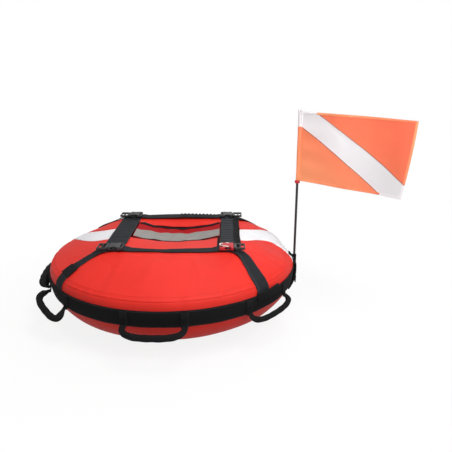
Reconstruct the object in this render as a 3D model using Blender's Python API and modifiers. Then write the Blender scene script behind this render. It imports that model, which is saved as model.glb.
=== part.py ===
"""Freediving buoy: an inflated ring in a fabric cover, with a strapped lid, handles and a flag on a pole.

Metres, +Z up. The origin is the centre of the flat underside. +X is the side that carries the pole,
and -Y is the front.
"""

import math

import bmesh
import bpy
from mathutils import Matrix, Vector

# Driving dimensions of the body

BODY_RADIUS = 0.400          # widest radius of the cover, at the belt
FLAT_RADIUS = 0.150          # inside this radius the crown and the underside are level
UPPER_RISE = 0.096           # from the widest level up to the crown
LOWER_DROP = 0.157           # from the widest level down to the underside
BULGE = 2.3                  # exponent of the rounded section
LEVEL_MARGIN = 0.018         # the crown is level to this far outside the middle of the strap frame's straps
LEVEL_CORNER = 12.0          # exponent of the level square's round corners
FALL_START = 1.25            # exponents of the crown's fall from the level square to the side seam
FALL_END = 1.1
CLOTH = 0.0012               # thickness of the cover cloth
ROUND_STEPS = 48             # facets round the body
CROWN_RINGS = 9
BOTTOM_STEPS = 5
CLEARANCE = 0.0003           # gap between pieces that touch

BELT_WIDTH = 0.050
BELT_THICKNESS = 0.0025
BELT_BELOW_WIDEST = 0.020    # the belt's middle lies this far under the widest level
BELT_LIFT = 0.0005           # belt off the cover
SEAM_RISE = 0.032            # the side band ends this far above the widest level
STRIPE_WIDTH = 0.112
STRIPE_CENTRE_Y = -0.008
STRIPE_STRAIGHT = 0.200      # the stripe runs straight to this X, then curves backwards
STRIPE_CURVE = {-1: 6.0, 1: 2.5}    # how fast it curves on the left and on the right, per metre

# The lid opening and the strap frame round it

FRAME_CENTRE_X = 0.012
FRAME_HALF = 0.177           # from the frame's centre to the middle of each strap
OPENING_HALF_X = 0.163
OPENING_HALF_Y = 0.170
STRAP_WIDTH = 0.038
STRAP_THICKNESS = 0.0020
CORNER_GAP = 0.0010          # from a buckle's middle to the strap's end, on each side
STRAP_LIFT = 0.0009          # strap off the cover, which keeps its flat facets clear of the curve
BAND_WIDTH = 0.064
BAND_THICKNESS = 0.0025
BAND_LIFT = 0.0008
RIB_COUNT = 18
RIB_THINNING = 0.55          # the band between two ribs, as a share of its full thickness
STRAP_FOOT_ANGLE = {"left": 39.0, "right": 45.0}    # degrees from the X axis, where straps meet the belt
PATCH_WIDTH = 0.050
PATCH_THICKNESS = 0.0014
PATCH_SPAN = (25, 32)        # steps of forty along the strap end that a patch covers
STRAP_CLIMB = 0.024          # length over which a strap climbs onto a band
STRAP_END_RUN = 0.050        # a strap end runs on in the frame's line for about this far
TAIL_WIDTH = 0.020           # folded strap tail along the right band
TAIL_THICKNESS = 0.0016
RIBBED_TO = 0.135            # X where the back strap's ribs end

FLAP_EDGE_FRONT = -0.037     # Y of the front flap's free edge
FLAP_SAG = 0.020             # how far the free edges hang in the middle
FLAP_GAP = 0.0008            # flaps to the cover's edge, which lean with the crown
BINDING_RADIUS = 0.0020
LID_HALF_X = 0.143
LID_FRONT = -0.0321
LID_BACK = 0.118
LID_DROP = 0.0015            # lid under the crown, at its two ends
LID_SAG = 0.023
LID_STRIPE_BACK = 0.082
ZIP_WIDTH = 0.008
ZIP_THICKNESS = 0.0020
ZIP_HALF_X = 0.140
ZIP_Y = 0.1242
SLIDER_LENGTH = 0.014
SLIDER_INSET = 0.014         # slider's middle from the zip's end
SLIDER_THICKNESS = 0.0024
PULL_THICKNESS = 0.0014
LID_STRIPE_INSET = 0.003

# The storage bag, the bladder and the underside

BAG_RADIUS = 0.138
BAG_FOOT_RADIUS = 0.126
BAG_TOP = 0.215
PANEL_THICKNESS = 0.0020
DRAIN_HOLE_RADIUS = 0.006
DRAIN_CIRCLE_RADIUS = 0.085
BLADDER_WALL = 0.0010
BLADDER_GAP = 0.0020         # bladder inside the cover
BLADDER_RISE = 0.066         # from the widest level up to the bladder's own crown
BLADDER_FROM_EDGE = 0.136    # from the widest radius in to where the bladder leaves the cover's curve
BLADDER_HALF = 0.118
BLADDER_STEPS = 24
VALVE_AZIMUTH = 118.0
VALVE_FROM_EDGE = 0.040      # from the widest radius in to the valve's middle
VALVE_RADIUS = 0.009
VALVE_BORE = 0.004
VALVE_STEM = 0.014           # stem length inside the cover
VALVE_OUT = 0.0045           # stem length outside the cover
PORT_RADIUS = 0.016
PORT_THICKNESS = 0.0015
CAP_RADIUS = 0.0105
CAP_HEIGHT = 0.006

# Handles, as name, azimuth, half of the angle between the two ends, and angle below level

HANDLES = (
    ("front", 267.6, 11.8, 10.0),
    ("front_left", 214.5, 10.5, 22.0),
    ("left", 188.0, 11.0, -55.0),
    ("back_left", 142.5, 12.0, 10.0),
    ("back", 93.0, 11.8, 10.0),
    ("back_right", 41.5, 12.0, 10.0),
    ("front_right", 320.5, 12.0, 32.0),
)
HANDLE_REACH = 0.042         # from the hinge line out to the middle of the grip
HANDLE_CORNER = 0.030        # size of the turn between a side and the grip
HANDLE_GRIP = 2.0            # grip's radius, as a multiple of the end's
HANDLE_END_RADIUS = 0.0040   # the rounded end, which turns in place
HANDLE_BELOW_BELT = 0.022    # hinge line under the belt's middle
TAB_WIDTH = 0.025
TAB_THICKNESS = 0.0020

# Tow ring at the back

RING_AZIMUTH = 67.0
RING_WIRE = 0.0025
RING_HALF = 0.017
RING_TAB_WIDTH = 0.024
RING_WEBBING = 0.0012        # thickness of the webbing round the ring
RING_PLAY = 0.0005
RING_STANDOFF = 0.0011       # outer side of the webbing's eye off the belt
RING_TAIL = 0.0014           # thickness of the webbing's sewn tail
RING_NECK = 0.0020           # and of the webbing this far above the eye's bore:
RING_NECK_RISE = 0.007

# Pole and flag

POLE_AZIMUTH = 2.8
POLE_RADIUS = 0.0040
POLE_TOP = 0.650
POCKET_WALL = 0.0028
POCKET_TOP = 0.168
POCKET_FOOT = 0.102
POCKET_FLOOR = 0.003
BOOT_HEIGHT = 0.014
POLE_CAP_HEIGHT = 0.006
POLE_CAP_RIM = 0.0018
TIE_RADIUS = 0.0010
# Course of the tie round the pocket: azimuth, depth below the pocket's top, distance off the pocket.
TIE_COURSE = [(-150, -0.010, 0.006), (-135, 0.003, 0.001), (-118, 0.014, 0.0), (-95, 0.021, 0.0)]
TIE_COURSE += [(-72, 0.026, 0.0), (-50, 0.030, 0.0), (-32, 0.040, 0.0), (-22, 0.052, 0.001)]
TIE_COURSE += [(-14, 0.070, 0.003), (-4, 0.086, 0.0)]
POLE_SLACK = 0.0005          # radial play of the pole in its pocket and of the sleeve on the pole
FLAG_BELOW_TOP = 0.004       # flag's upper edge, under the pole's top
FLAG_HEIGHT = 0.220
FLAG_LENGTH = 0.355
FLAG_SWING = 27.0            # degrees from +X towards the front, along the upper edge
FLAG_TWIST = 16.0            # the lower edge swings this much further
FLAG_DROOP = 0.015           # the upper fly corner hangs this much
FLAG_LOWER_DROOP = 0.004
FLAG_WAVE = 0.007
FLAG_WAVE_LENGTH = 0.210
FLAG_CLOTH = 0.0006
FLAG_WAVE_LEAN = 0.22        # how far the folds lean over the flag's height, in wave lengths
SLEEVE_WALL = 0.0012
STOPPER_RADIUS = 0.0085
STOPPER_HEIGHT = 0.009
STRIPE_TOP_START = 0.15      # shares of the flag's length and height where the stripe's edges end
STRIPE_FLY_END = 0.175
STRIPE_HOIST_START = 0.79
STRIPE_BOTTOM_END = 0.79

# Side-release buckles

BUCKLE_WIDTH = 0.046
BUCKLE_HEIGHT = 0.0100
BUCKLE_FEMALE = 0.043        # length
BUCKLE_MALE = 0.034          # length outside the female half
BUCKLE_WALL = 0.0022
BUCKLE_PRONG = 0.034         # length of the prongs
BUCKLE_BAR = 0.0050
BUCKLE_BAR_SLOT = 0.007      # slot for the webbing beside a bar
BUCKLE_WINDOW = 0.016        # opening in each side, where the prongs are pressed
BUCKLE_PLAY = 0.0004         # between the halves
PRONG_WIDTH = 0.009
TONGUE_WIDTH = 0.008
BUCKLE_SHIFT = 0.010         # buckle's joint line, outward from the frame's corner

# Values worked out from the driving dimensions

WIDEST_Z = LOWER_DROP
BLADDER_MIDDLE = BODY_RADIUS - BLADDER_FROM_EDGE
CROWN_Z = WIDEST_Z + UPPER_RISE
BELT_Z = WIDEST_Z - BELT_BELOW_WIDEST
BELT_TOP = BELT_Z + BELT_WIDTH / 2
BELT_FOOT = BELT_Z - BELT_WIDTH / 2
SEAM_Z = WIDEST_Z + SEAM_RISE
SECTION_DEPTH = BODY_RADIUS - FLAT_RADIUS
RIM_RADIUS = FLAT_RADIUS + SECTION_DEPTH * (1 - (SEAM_RISE / UPPER_RISE) ** BULGE) ** (1 / BULGE)
LEVEL_HALF = FRAME_HALF + LEVEL_MARGIN
PANEL_RADIUS = FLAT_RADIUS    # the bottom panel fills the underside's opening
FLAP_EDGE_BACK = ZIP_Y + ZIP_WIDTH / 2 + CLEARANCE    # the back flap's free edge lies along the zip
TAB_FACE = BODY_RADIUS + BELT_LIFT + BELT_THICKNESS + TAB_THICKNESS
HANDLE_Z = BELT_Z - HANDLE_BELOW_BELT
POCKET_RADIUS = POLE_RADIUS + POLE_SLACK + POCKET_WALL
POLE_AXIS_RADIUS = BODY_RADIUS + BELT_LIFT + BELT_THICKNESS + CLEARANCE + POCKET_RADIUS
FLAG_BOTTOM = POLE_TOP - FLAG_BELOW_TOP - FLAG_HEIGHT
POLE_X = POLE_AXIS_RADIUS * math.cos(math.radians(POLE_AZIMUTH))
POLE_Y = POLE_AXIS_RADIUS * math.sin(math.radians(POLE_AZIMUTH))


# Scene and materials

for old in list(bpy.data.objects):
    bpy.data.objects.remove(old)

parts = bpy.data.collections.new("freediving_buoy")
cutters = bpy.data.collections.new("cutters")
bpy.context.scene.collection.children.link(parts)
bpy.context.scene.collection.children.link(cutters)


def material(name, colour, roughness, metallic=0.0):
    """A plain Principled material."""
    made = bpy.data.materials.new(name)
    made.use_nodes = True
    shader = made.node_tree.nodes["Principled BSDF"]
    shader.inputs["Base Color"].default_value = (*colour, 1.0)
    shader.inputs["Roughness"].default_value = roughness
    shader.inputs["Metallic"].default_value = metallic
    return made


RED = (0.82, 0.045, 0.030)
DEEP_RED = (0.55, 0.015, 0.025)
WHITE = (0.86, 0.84, 0.86)
GREY = (0.38, 0.37, 0.38)
BLACK = (0.012, 0.012, 0.014)
DARK = (0.030, 0.034, 0.038)
STEEL = (0.60, 0.60, 0.62)
FLAG_ORANGE = (0.92, 0.15, 0.07)


def place(name, mesh, colour, roughness=0.7, metallic=0.0, smooth_angle=35.0):
    """Wrap a mesh in a named object with its own material, in the buoy's collection."""
    obj = bpy.data.objects.new(name, mesh)
    parts.objects.link(obj)
    mesh.materials.clear()
    mesh.materials.append(material(name, colour, roughness, metallic))
    mesh.shade_smooth()
    mesh.set_sharp_from_angle(angle=math.radians(smooth_angle))
    return obj


def mesh_from(bm, name):
    """Turn a bmesh into a mesh and free it."""
    mesh = bpy.data.meshes.new(name)
    bm.to_mesh(mesh)
    bm.free()
    return mesh


def cutter(name, mesh):
    """A hidden object that a Boolean modifier reads."""
    obj = bpy.data.objects.new(name, mesh)
    cutters.objects.link(obj)
    obj.hide_render = True
    obj.display_type = "WIRE"
    return obj


def boolean(obj, other, operation):
    """Add an exact Boolean modifier."""
    modifier = obj.modifiers.new(operation.lower(), "BOOLEAN")
    modifier.operation = operation
    modifier.solver = "EXACT"
    modifier.object = other
    return modifier


def solidify(obj, thickness, offset, group=None, thinnest=0.0):
    """Give an open surface a thickness: offset 1 grows along its normals, -1 against them."""
    modifier = obj.modifiers.new("solidify", "SOLIDIFY")
    modifier.thickness = thickness
    modifier.offset = offset
    modifier.use_even_offset = True
    if group:
        modifier.vertex_group = group
        modifier.thickness_vertex_group = thinnest
    return modifier


def box_into(bm, size, centre, turn=None):
    """Add a box to a bmesh, at a centre, turned by a matrix."""
    matrix = Matrix.Translation(centre) @ (turn or Matrix()) @ Matrix.Diagonal((*size, 1.0))
    return bmesh.ops.create_cube(bm, size=1.0, matrix=matrix)["verts"]


def box_mesh(name, size, centre, turn=None):
    """A mesh that is one box."""
    bm = bmesh.new()
    box_into(bm, size, centre, turn)
    return mesh_from(bm, name)


def cylinder_mesh(name, radius, depth, matrix, segments=24):
    """A mesh that is one capped cylinder along its local Z."""
    bm = bmesh.new()
    bmesh.ops.create_cone(
        bm, cap_ends=True, segments=segments, radius1=radius, radius2=radius, depth=depth, matrix=matrix
    )
    return mesh_from(bm, name)


def turned(name, profile, steps, colour, roughness=0.7, metallic=0.0, matrix=None, smooth_angle=35.0):
    """Turn a closed profile of (radius, height) points round Z with a Screw modifier."""
    bm = bmesh.new()
    rail = [bm.verts.new((radius, 0.0, height)) for radius, height in profile]
    for first, second in zip(rail, rail[1:] + rail[:1]):
        bm.edges.new((first, second))
    obj = place(name, mesh_from(bm, name), colour, roughness, metallic, smooth_angle)
    screw = obj.modifiers.new("screw", "SCREW")
    screw.axis = "Z"
    screw.angle = math.tau
    screw.steps = steps
    screw.render_steps = steps
    screw.use_merge_vertices = True
    screw.merge_threshold = 0.00001
    screw.use_smooth_shade = True
    if matrix is not None:
        obj.matrix_world = matrix
    return obj


def tube(name, points, radius, radii=None, resolution=2):
    """A bevelled curve through points, as a welded mesh with closed ends."""
    curve = bpy.data.curves.new(name, "CURVE")
    curve.dimensions = "3D"
    curve.bevel_depth = radius
    curve.bevel_resolution = resolution
    curve.use_fill_caps = True
    spline = curve.splines.new("POLY")
    spline.points.add(len(points) - 1)
    for index, point in enumerate(points):
        spline.points[index].co = (*point, 1.0)
        spline.points[index].radius = radii[index] if radii else 1.0
    guide = bpy.data.objects.new(name + "_guide", curve)
    bpy.context.scene.collection.objects.link(guide)
    bpy.context.view_layer.update()
    mesh = bpy.data.meshes.new_from_object(guide.evaluated_get(bpy.context.evaluated_depsgraph_get()))
    bpy.data.objects.remove(guide)
    bm = bmesh.new()
    bm.from_mesh(mesh)
    bmesh.ops.remove_doubles(bm, verts=bm.verts, dist=0.00001)
    bmesh.ops.recalc_face_normals(bm, faces=bm.faces)
    bm.to_mesh(mesh)
    bm.free()
    return mesh


def frame_at(origin, z_axis, x_axis):
    """A placing matrix from an origin, a Z direction and a rough X direction."""
    z_axis = z_axis.normalized()
    y_axis = z_axis.cross(x_axis).normalized()
    x_axis = y_axis.cross(z_axis)
    turn = Matrix((x_axis, y_axis, z_axis)).transposed().to_4x4()
    return Matrix.Translation(origin) @ turn


# The body's section: a rounded curve that every layer and strap follows


def section_point(angle, inset=0.0, rise=UPPER_RISE):
    """Point (radius, height) of the section at an angle in degrees, 90 at the crown, -90 underneath."""
    height_scale = rise if angle >= 0 else LOWER_DROP
    cosine = max(0.0, math.cos(math.radians(angle)))
    sine = math.sin(math.radians(angle))
    radius = FLAT_RADIUS + SECTION_DEPTH * cosine ** (2 / BULGE)
    height = WIDEST_Z + math.copysign(height_scale * abs(sine) ** (2 / BULGE), sine)
    normal = section_normal(radius, height)
    return radius - inset * normal[0], height - inset * normal[1]


def section_normal(radius, height):
    """Outward direction (radial, vertical) of the section at a point on it."""
    height_scale = UPPER_RISE if height >= WIDEST_Z else LOWER_DROP
    across = max(0.0, (radius - FLAT_RADIUS) / SECTION_DEPTH) ** (BULGE - 1) / SECTION_DEPTH
    up = abs((height - WIDEST_Z) / height_scale) ** (BULGE - 1) / height_scale
    length = math.hypot(across, up)
    return across / length, math.copysign(up / length, height - WIDEST_Z)


def radius_at(height):
    """Radius of the cover at a height."""
    height_scale = UPPER_RISE if height >= WIDEST_Z else LOWER_DROP
    share = min(1.0, abs(height - WIDEST_Z) / height_scale)
    return FLAT_RADIUS + SECTION_DEPTH * (1 - share ** BULGE) ** (1 / BULGE)


def crown(x, y):
    """Height of the cover's top over a place in plan: level under the strap frame, then down to the seam."""
    distance = math.hypot(x, y)
    if distance >= RIM_RADIUS:
        share = min(1.0, (distance - FLAT_RADIUS) / SECTION_DEPTH)
        return WIDEST_Z + UPPER_RISE * (1 - share ** BULGE) ** (1 / BULGE)
    if distance <= LEVEL_HALF:
        return CROWN_Z
    corner = (abs(x) ** LEVEL_CORNER + abs(y) ** LEVEL_CORNER) ** (1 / LEVEL_CORNER)
    level = LEVEL_HALF * distance / corner
    share = max(0.0, (distance - level) / (RIM_RADIUS - level))
    return SEAM_Z + (CROWN_Z - SEAM_Z) * (1 - share ** FALL_START) ** (1 / FALL_END)


def on_cover(point, lift=0.0):
    """Bring a point onto the cover's upper surface and raise it off by a lift."""
    distance = math.hypot(point.x, point.y)
    if distance < RIM_RADIUS:
        seat = Vector((point.x, point.y, crown(point.x, point.y)))
    else:
        out, up = distance - FLAT_RADIUS, point.z - WIDEST_Z
        reach = ((out / SECTION_DEPTH) ** BULGE + (max(up, 0.0) / UPPER_RISE) ** BULGE) ** (-1 / BULGE)
        radius = FLAT_RADIUS + out * reach
        seat = Vector((point.x / distance * radius, point.y / distance * radius, WIDEST_Z + up * reach))
    return seat + cover_normal(seat) * lift


def cover_normal(point):
    """Outward normal of the cover's upper surface at a point on it."""
    distance = math.hypot(point.x, point.y)
    if distance < RIM_RADIUS:
        step = 0.0005
        slope_x = (crown(point.x + step, point.y) - crown(point.x - step, point.y)) / (2 * step)
        slope_y = (crown(point.x, point.y + step) - crown(point.x, point.y - step)) / (2 * step)
        return Vector((-slope_x, -slope_y, 1.0)).normalized()
    across, up = section_normal(distance, point.z)
    return Vector((point.x / distance * across, point.y / distance * across, up))


def shell_profile(outer, thickness):
    """Close a profile of outer points, listed from the top down, with its inner side."""
    inner = []
    for radius, height in reversed(outer):
        normal = section_normal(min(radius, BODY_RADIUS), height)
        inner.append((radius - thickness * normal[0], height - thickness * normal[1]))
    return outer + inner


def angle_at(height):
    """Section angle in degrees at a height."""
    height_scale = UPPER_RISE if height >= WIDEST_Z else LOWER_DROP
    share = min(1.0, abs(height - WIDEST_Z) / height_scale)
    return math.copysign(math.degrees(math.asin(share ** (BULGE / 2))), height - WIDEST_Z)


def spread(start, end, count):
    """Evenly spaced values from start to end, both included."""
    return [start + (end - start) * index / (count - 1) for index in range(count)]


# Cover panels: red front and back, a white stripe between them, cut from one turned crown


def crown_surface(name, colour, roughness):
    """The cover's whole top as rings of points, thickened downwards."""
    bm = bmesh.new()
    inner_radius = 0.8 * min(OPENING_HALF_X - FRAME_CENTRE_X, OPENING_HALF_Y)
    edge = RIM_RADIUS - CLOTH
    rings = []
    for share in spread(0.0, 1.0, CROWN_RINGS):
        radius = inner_radius + (edge - inner_radius) * share
        ring = []
        for step in range(ROUND_STEPS):
            angle = math.tau * step / ROUND_STEPS
            x, y = radius * math.cos(angle), radius * math.sin(angle)
            ring.append(bm.verts.new((x, y, crown(x, y))))
        rings.append(ring)
    for inner, outer in zip(rings, rings[1:]):
        for step in range(ROUND_STEPS):
            after = (step + 1) % ROUND_STEPS
            bm.faces.new((inner[step], outer[step], outer[after], inner[after]))
    obj = place(name, mesh_from(bm, name), colour, roughness)
    solidify(obj, CLOTH, -1.0)
    return obj


def stripe_edge(x, side):
    """Y of one edge of the white stripe, which curves backwards on the flanks."""
    past = max(0.0, abs(x) - STRIPE_STRAIGHT)
    curve = STRIPE_CURVE[-1 if x < 0 else 1]
    return STRIPE_CENTRE_Y + side * STRIPE_WIDTH / 2 + curve * past ** 2


def prism_mesh(name, outline):
    """An upright prism through the crown, from its outline in plan."""
    bm = bmesh.new()
    base = bm.faces.new([bm.verts.new((x, y, SEAM_Z - UPPER_RISE)) for x, y in outline])
    grown = bmesh.ops.extrude_face_region(bm, geom=[base])["geom"]
    for element in grown:
        if isinstance(element, bmesh.types.BMVert):
            element.co.z = CROWN_Z + UPPER_RISE
    bmesh.ops.recalc_face_normals(bm, faces=bm.faces)
    return mesh_from(bm, name)


def build_cover_top():
    reach = BODY_RADIUS * 1.2
    samples = spread(-reach, reach, 49)
    opening = cutter(
        "opening_cutter",
        box_mesh(
            "opening_cutter",
            (2 * OPENING_HALF_X, 2 * OPENING_HALF_Y, 4 * UPPER_RISE),
            (FRAME_CENTRE_X, 0.0, CROWN_Z),
        ),
    )
    for name, side in (("cover_front", -1), ("cover_back", 1)):
        outline = [(x, stripe_edge(x, side) + side * CLEARANCE / 2) for x in samples]
        outline += [(reach, side * 2 * reach), (-reach, side * 2 * reach)]
        keep = cutter(name + "_cutter", prism_mesh(name + "_cutter", outline))
        panel = crown_surface(name, RED, 0.62)
        boolean(panel, keep, "INTERSECT")
        boolean(panel, opening, "DIFFERENCE")
    for name, side in (("stripe_left", -1), ("stripe_right", 1)):
        edge = FRAME_CENTRE_X + side * OPENING_HALF_X
        across = [edge] + [x for x in samples if side * x > side * edge][::side]
        outline = [(x, stripe_edge(x, -1) + CLEARANCE / 2) for x in across]
        outline += [(x, stripe_edge(x, 1) - CLEARANCE / 2) for x in reversed(across)]
        keep = cutter(name + "_cutter", prism_mesh(name + "_cutter", outline))
        panel = crown_surface(name, WHITE, 0.55)
        boolean(panel, keep, "INTERSECT")


def build_sides_and_belt():
    levels = [SEAM_Z, (SEAM_Z + BELT_TOP) / 2, BELT_TOP, BELT_Z, BELT_FOOT]
    outer = [(radius_at(z), z) for z in levels]
    turned("side_band", shell_profile(outer, CLOTH), ROUND_STEPS, RED, 0.62)

    lifted = []
    for z in levels[2:]:
        normal = section_normal(radius_at(z), z)
        lifted.append((radius_at(z) + BELT_LIFT * normal[0], z))
    wall = [(radius + BELT_THICKNESS, z) for radius, z in lifted]
    belt = turned("belt", wall + lifted[::-1], ROUND_STEPS, BLACK, 0.85)

    # The handles' webbing ends are sewn flat onto the belt, half sunk in it.
    bm = bmesh.new()
    for _, azimuth, half_angle, _ in HANDLES:
        for side in (-1, 1):
            turn = Matrix.Rotation(math.radians(azimuth + side * half_angle), 4, "Z")
            middle = turn @ Vector((TAB_FACE - TAB_THICKNESS, 0.0, BELT_Z))
            box_into(bm, (2 * TAB_THICKNESS, TAB_WIDTH, BELT_WIDTH * 0.96), middle, turn)
    boolean(belt, cutter("belt_tabs", mesh_from(bm, "belt_tabs")), "UNION")

    outer = [(radius_at(BELT_FOOT - CLEARANCE), BELT_FOOT - CLEARANCE)]
    outer += [section_point(a) for a in spread(angle_at(BELT_FOOT) - 8.0, -84.0, BOTTOM_STEPS)]
    outer += [(FLAT_RADIUS + CLEARANCE, 0.0)]
    bottom = turned("cover_bottom", shell_profile(outer, CLOTH), ROUND_STEPS, RED, 0.62)
    return bottom


def build_underside():
    bm = bmesh.new()
    bmesh.ops.create_cone(
        bm, cap_ends=True, segments=ROUND_STEPS, radius1=PANEL_RADIUS, radius2=PANEL_RADIUS,
        depth=PANEL_THICKNESS, matrix=Matrix.Translation((0.0, 0.0, PANEL_THICKNESS / 2)),
    )
    panel = place("bottom_panel", mesh_from(bm, "bottom_panel"), BLACK, 0.8)
    holes = bmesh.new()
    for quarter in range(4):
        angle = math.radians(45 + 90 * quarter)
        place_hole = Matrix.Translation(
            (DRAIN_CIRCLE_RADIUS * math.cos(angle), DRAIN_CIRCLE_RADIUS * math.sin(angle), 0.0)
        )
        bmesh.ops.create_cone(
            holes, cap_ends=True, segments=12, radius1=DRAIN_HOLE_RADIUS, radius2=DRAIN_HOLE_RADIUS,
            depth=4 * PANEL_THICKNESS, matrix=place_hole,
        )
    boolean(panel, cutter("drain_holes", mesh_from(holes, "drain_holes")), "DIFFERENCE")

    floor = PANEL_THICKNESS + CLEARANCE
    outer = [(BAG_RADIUS, BAG_TOP), (BAG_RADIUS, BAG_TOP * 0.5), (BAG_FOOT_RADIUS, floor), (0.0, floor)]
    inner = [(0.0, floor + CLOTH), (BAG_FOOT_RADIUS - CLOTH, floor + CLOTH)]
    inner += [(BAG_RADIUS - CLOTH, BAG_TOP * 0.5), (BAG_RADIUS - CLOTH, BAG_TOP)]
    turned("storage_bag", outer + inner, BLADDER_STEPS, DEEP_RED, 0.75)


# The inflated bladder, with its valve through the cover


def build_bladder(bottom):
    inset = CLOTH + BLADDER_GAP
    share = ((BLADDER_MIDDLE - FLAT_RADIUS) / SECTION_DEPTH) ** (BULGE / 2)
    limit = math.degrees(math.acos(share))
    outer = [section_point(a, inset, BLADDER_RISE) for a in spread(limit, -limit, 7)]
    top, foot = outer[0], outer[-1]
    middle, half = (top[1] + foot[1]) / 2, (top[1] - foot[1]) / 2
    inner = []
    for angle in spread(-60.0, 60.0, 5):
        turn = math.radians(angle)
        inner.append((BLADDER_MIDDLE - BLADDER_HALF * math.cos(turn), middle + half * math.sin(turn)))
    bladder = turned("inner_tube", outer + inner, BLADDER_STEPS, DARK, 0.45)
    solidify(bladder, BLADDER_WALL, -1.0)

    radius = BODY_RADIUS - VALVE_FROM_EDGE
    height = WIDEST_Z - LOWER_DROP * (1 - ((radius - FLAT_RADIUS) / SECTION_DEPTH) ** BULGE) ** (1 / BULGE)
    across, up = section_normal(radius, height)
    turn = Matrix.Rotation(math.radians(VALVE_AZIMUTH), 4, "Z")
    seat = turn @ Vector((radius, 0.0, height))
    axis = turn @ Vector((across, 0.0, up))
    side = turn @ Vector((0.0, 1.0, 0.0))
    frame = frame_at(seat, axis, side)
    hole = cutter("valve_hole", cylinder_mesh("valve_hole", VALVE_RADIUS + CLEARANCE, 4 * VALVE_STEM, frame))
    boolean(bladder, hole, "DIFFERENCE")
    boolean(bottom, hole, "DIFFERENCE")

    stem = [(VALVE_RADIUS, VALVE_OUT), (VALVE_RADIUS, -VALVE_STEM)]
    stem += [(VALVE_BORE, -VALVE_STEM), (VALVE_BORE, VALVE_OUT)]
    turned("valve_body", stem, 16, DARK, 0.4, matrix=frame)
    lift = 4 * CLEARANCE
    hole_radius = VALVE_RADIUS + CLEARANCE
    ring = [(PORT_RADIUS, lift + PORT_THICKNESS), (PORT_RADIUS, lift)]
    ring += [(hole_radius, lift), (hole_radius, lift + PORT_THICKNESS)]
    turned("valve_port", ring, 20, BLACK, 0.5, matrix=frame)
    rim = VALVE_OUT + CLEARANCE
    cap = [(0.0, rim + CAP_HEIGHT), (CAP_RADIUS * 0.9, rim + CAP_HEIGHT)]
    cap += [(CAP_RADIUS, rim + CAP_HEIGHT * 0.8), (CAP_RADIUS, rim), (0.0, rim)]
    turned("valve_cap", cap, 16, BLACK, 0.45, matrix=frame)


# Straps laid over the cover


def laid_strip(name, path, width, lift, thickness, colour, columns=2, ribs=None, roughness=0.85):
    """A strip of webbing along a path of points on the cover, at a lift that may vary along it.

    ribs, if given, says for each row whether it is at full thickness.
    """
    bm = bmesh.new()
    rows = []
    for index, point in enumerate(path):
        ahead = path[min(index + 1, len(path) - 1)]
        behind = path[max(index - 1, 0)]
        across = cover_normal(point).cross(ahead - behind).normalized()
        rise = lift(point) if callable(lift) else lift
        row = []
        for column in range(columns + 1):
            offset = width * (column / columns - 0.5)
            row.append(bm.verts.new(on_cover(point + across * offset, rise)))
        rows.append(row)
    for near, far in zip(rows, rows[1:]):
        for column in range(columns):
            bm.faces.new((near[column], far[column], far[column + 1], near[column + 1]))
    obj = place(name, mesh_from(bm, name), colour, roughness)
    if ribs:
        group = obj.vertex_groups.new(name="full_thickness")
        for index, full in enumerate(ribs):
            first = index * (columns + 1)
            group.add(range(first, first + columns + 1), 1.0 if full else RIB_THINNING, "REPLACE")
        solidify(obj, thickness, 1.0, "full_thickness")
    else:
        solidify(obj, thickness, 1.0)
    return obj


def even_path(points, count):
    """Resample a polyline at equal steps along its length."""
    lengths = [0.0]
    for first, second in zip(points, points[1:]):
        lengths.append(lengths[-1] + (second - first).length)
    path, segment = [], 0
    for index in range(count):
        goal = lengths[-1] * index / (count - 1)
        while segment < len(points) - 2 and lengths[segment + 1] < goal:
            segment += 1
        step = lengths[segment + 1] - lengths[segment]
        path.append(points[segment].lerp(points[segment + 1], (goal - lengths[segment]) / step))
    return path


def smooth_step(value):
    value = min(1.0, max(0.0, value))
    return value * value * (3 - 2 * value)


def strap_lift(point):
    """Straps lie on the cover and climb over the two wide bands."""
    over_band = BAND_LIFT + BAND_THICKNESS + 3 * CLEARANCE
    from_band = abs(abs(point.x - FRAME_CENTRE_X) - FRAME_HALF) - BAND_WIDTH / 2
    climb = 1 - smooth_step((from_band - STRAP_CLIMB / 6) / STRAP_CLIMB)
    return STRAP_LIFT + (over_band - STRAP_LIFT) * climb


def plan_point(x, y):
    return Vector((x, y, crown(x, y)))


def strap_foot(side_name, front):
    """Where a strap end reaches the belt."""
    side = -1 if side_name == "left" else 1
    azimuth = math.radians(STRAP_FOOT_ANGLE[side_name])
    z = BELT_TOP + 3 * CLEARANCE
    radius = radius_at(z)
    return Vector((side * radius * math.cos(azimuth), front * radius * math.sin(azimuth), z))


def strap_end_path(side_name, front, count):
    """From a frame corner, along the strap's own line, then down to the belt."""
    side = -1 if side_name == "left" else 1
    corner = plan_point(FRAME_CENTRE_X + side * (FRAME_HALF + CORNER_GAP), front * FRAME_HALF)
    foot = strap_foot(side_name, front)
    inward = Vector((-foot.x, -foot.y, 0.0)).normalized()
    onward = corner + Vector((side * STRAP_END_RUN, 0.0, 0.0))
    controls = (corner, onward, foot + inward * 1.2 * STRAP_END_RUN, foot)
    points = []
    for t in spread(0.0, 1.0, 161):
        blend = ((1 - t) ** 3, 3 * t * (1 - t) ** 2, 3 * t * t * (1 - t), t ** 3)
        mixed = sum((c * weight for c, weight in zip(controls, blend)), Vector())
        points.append(plan_point(mixed.x, mixed.y))
    return even_path(points, count)


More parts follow.
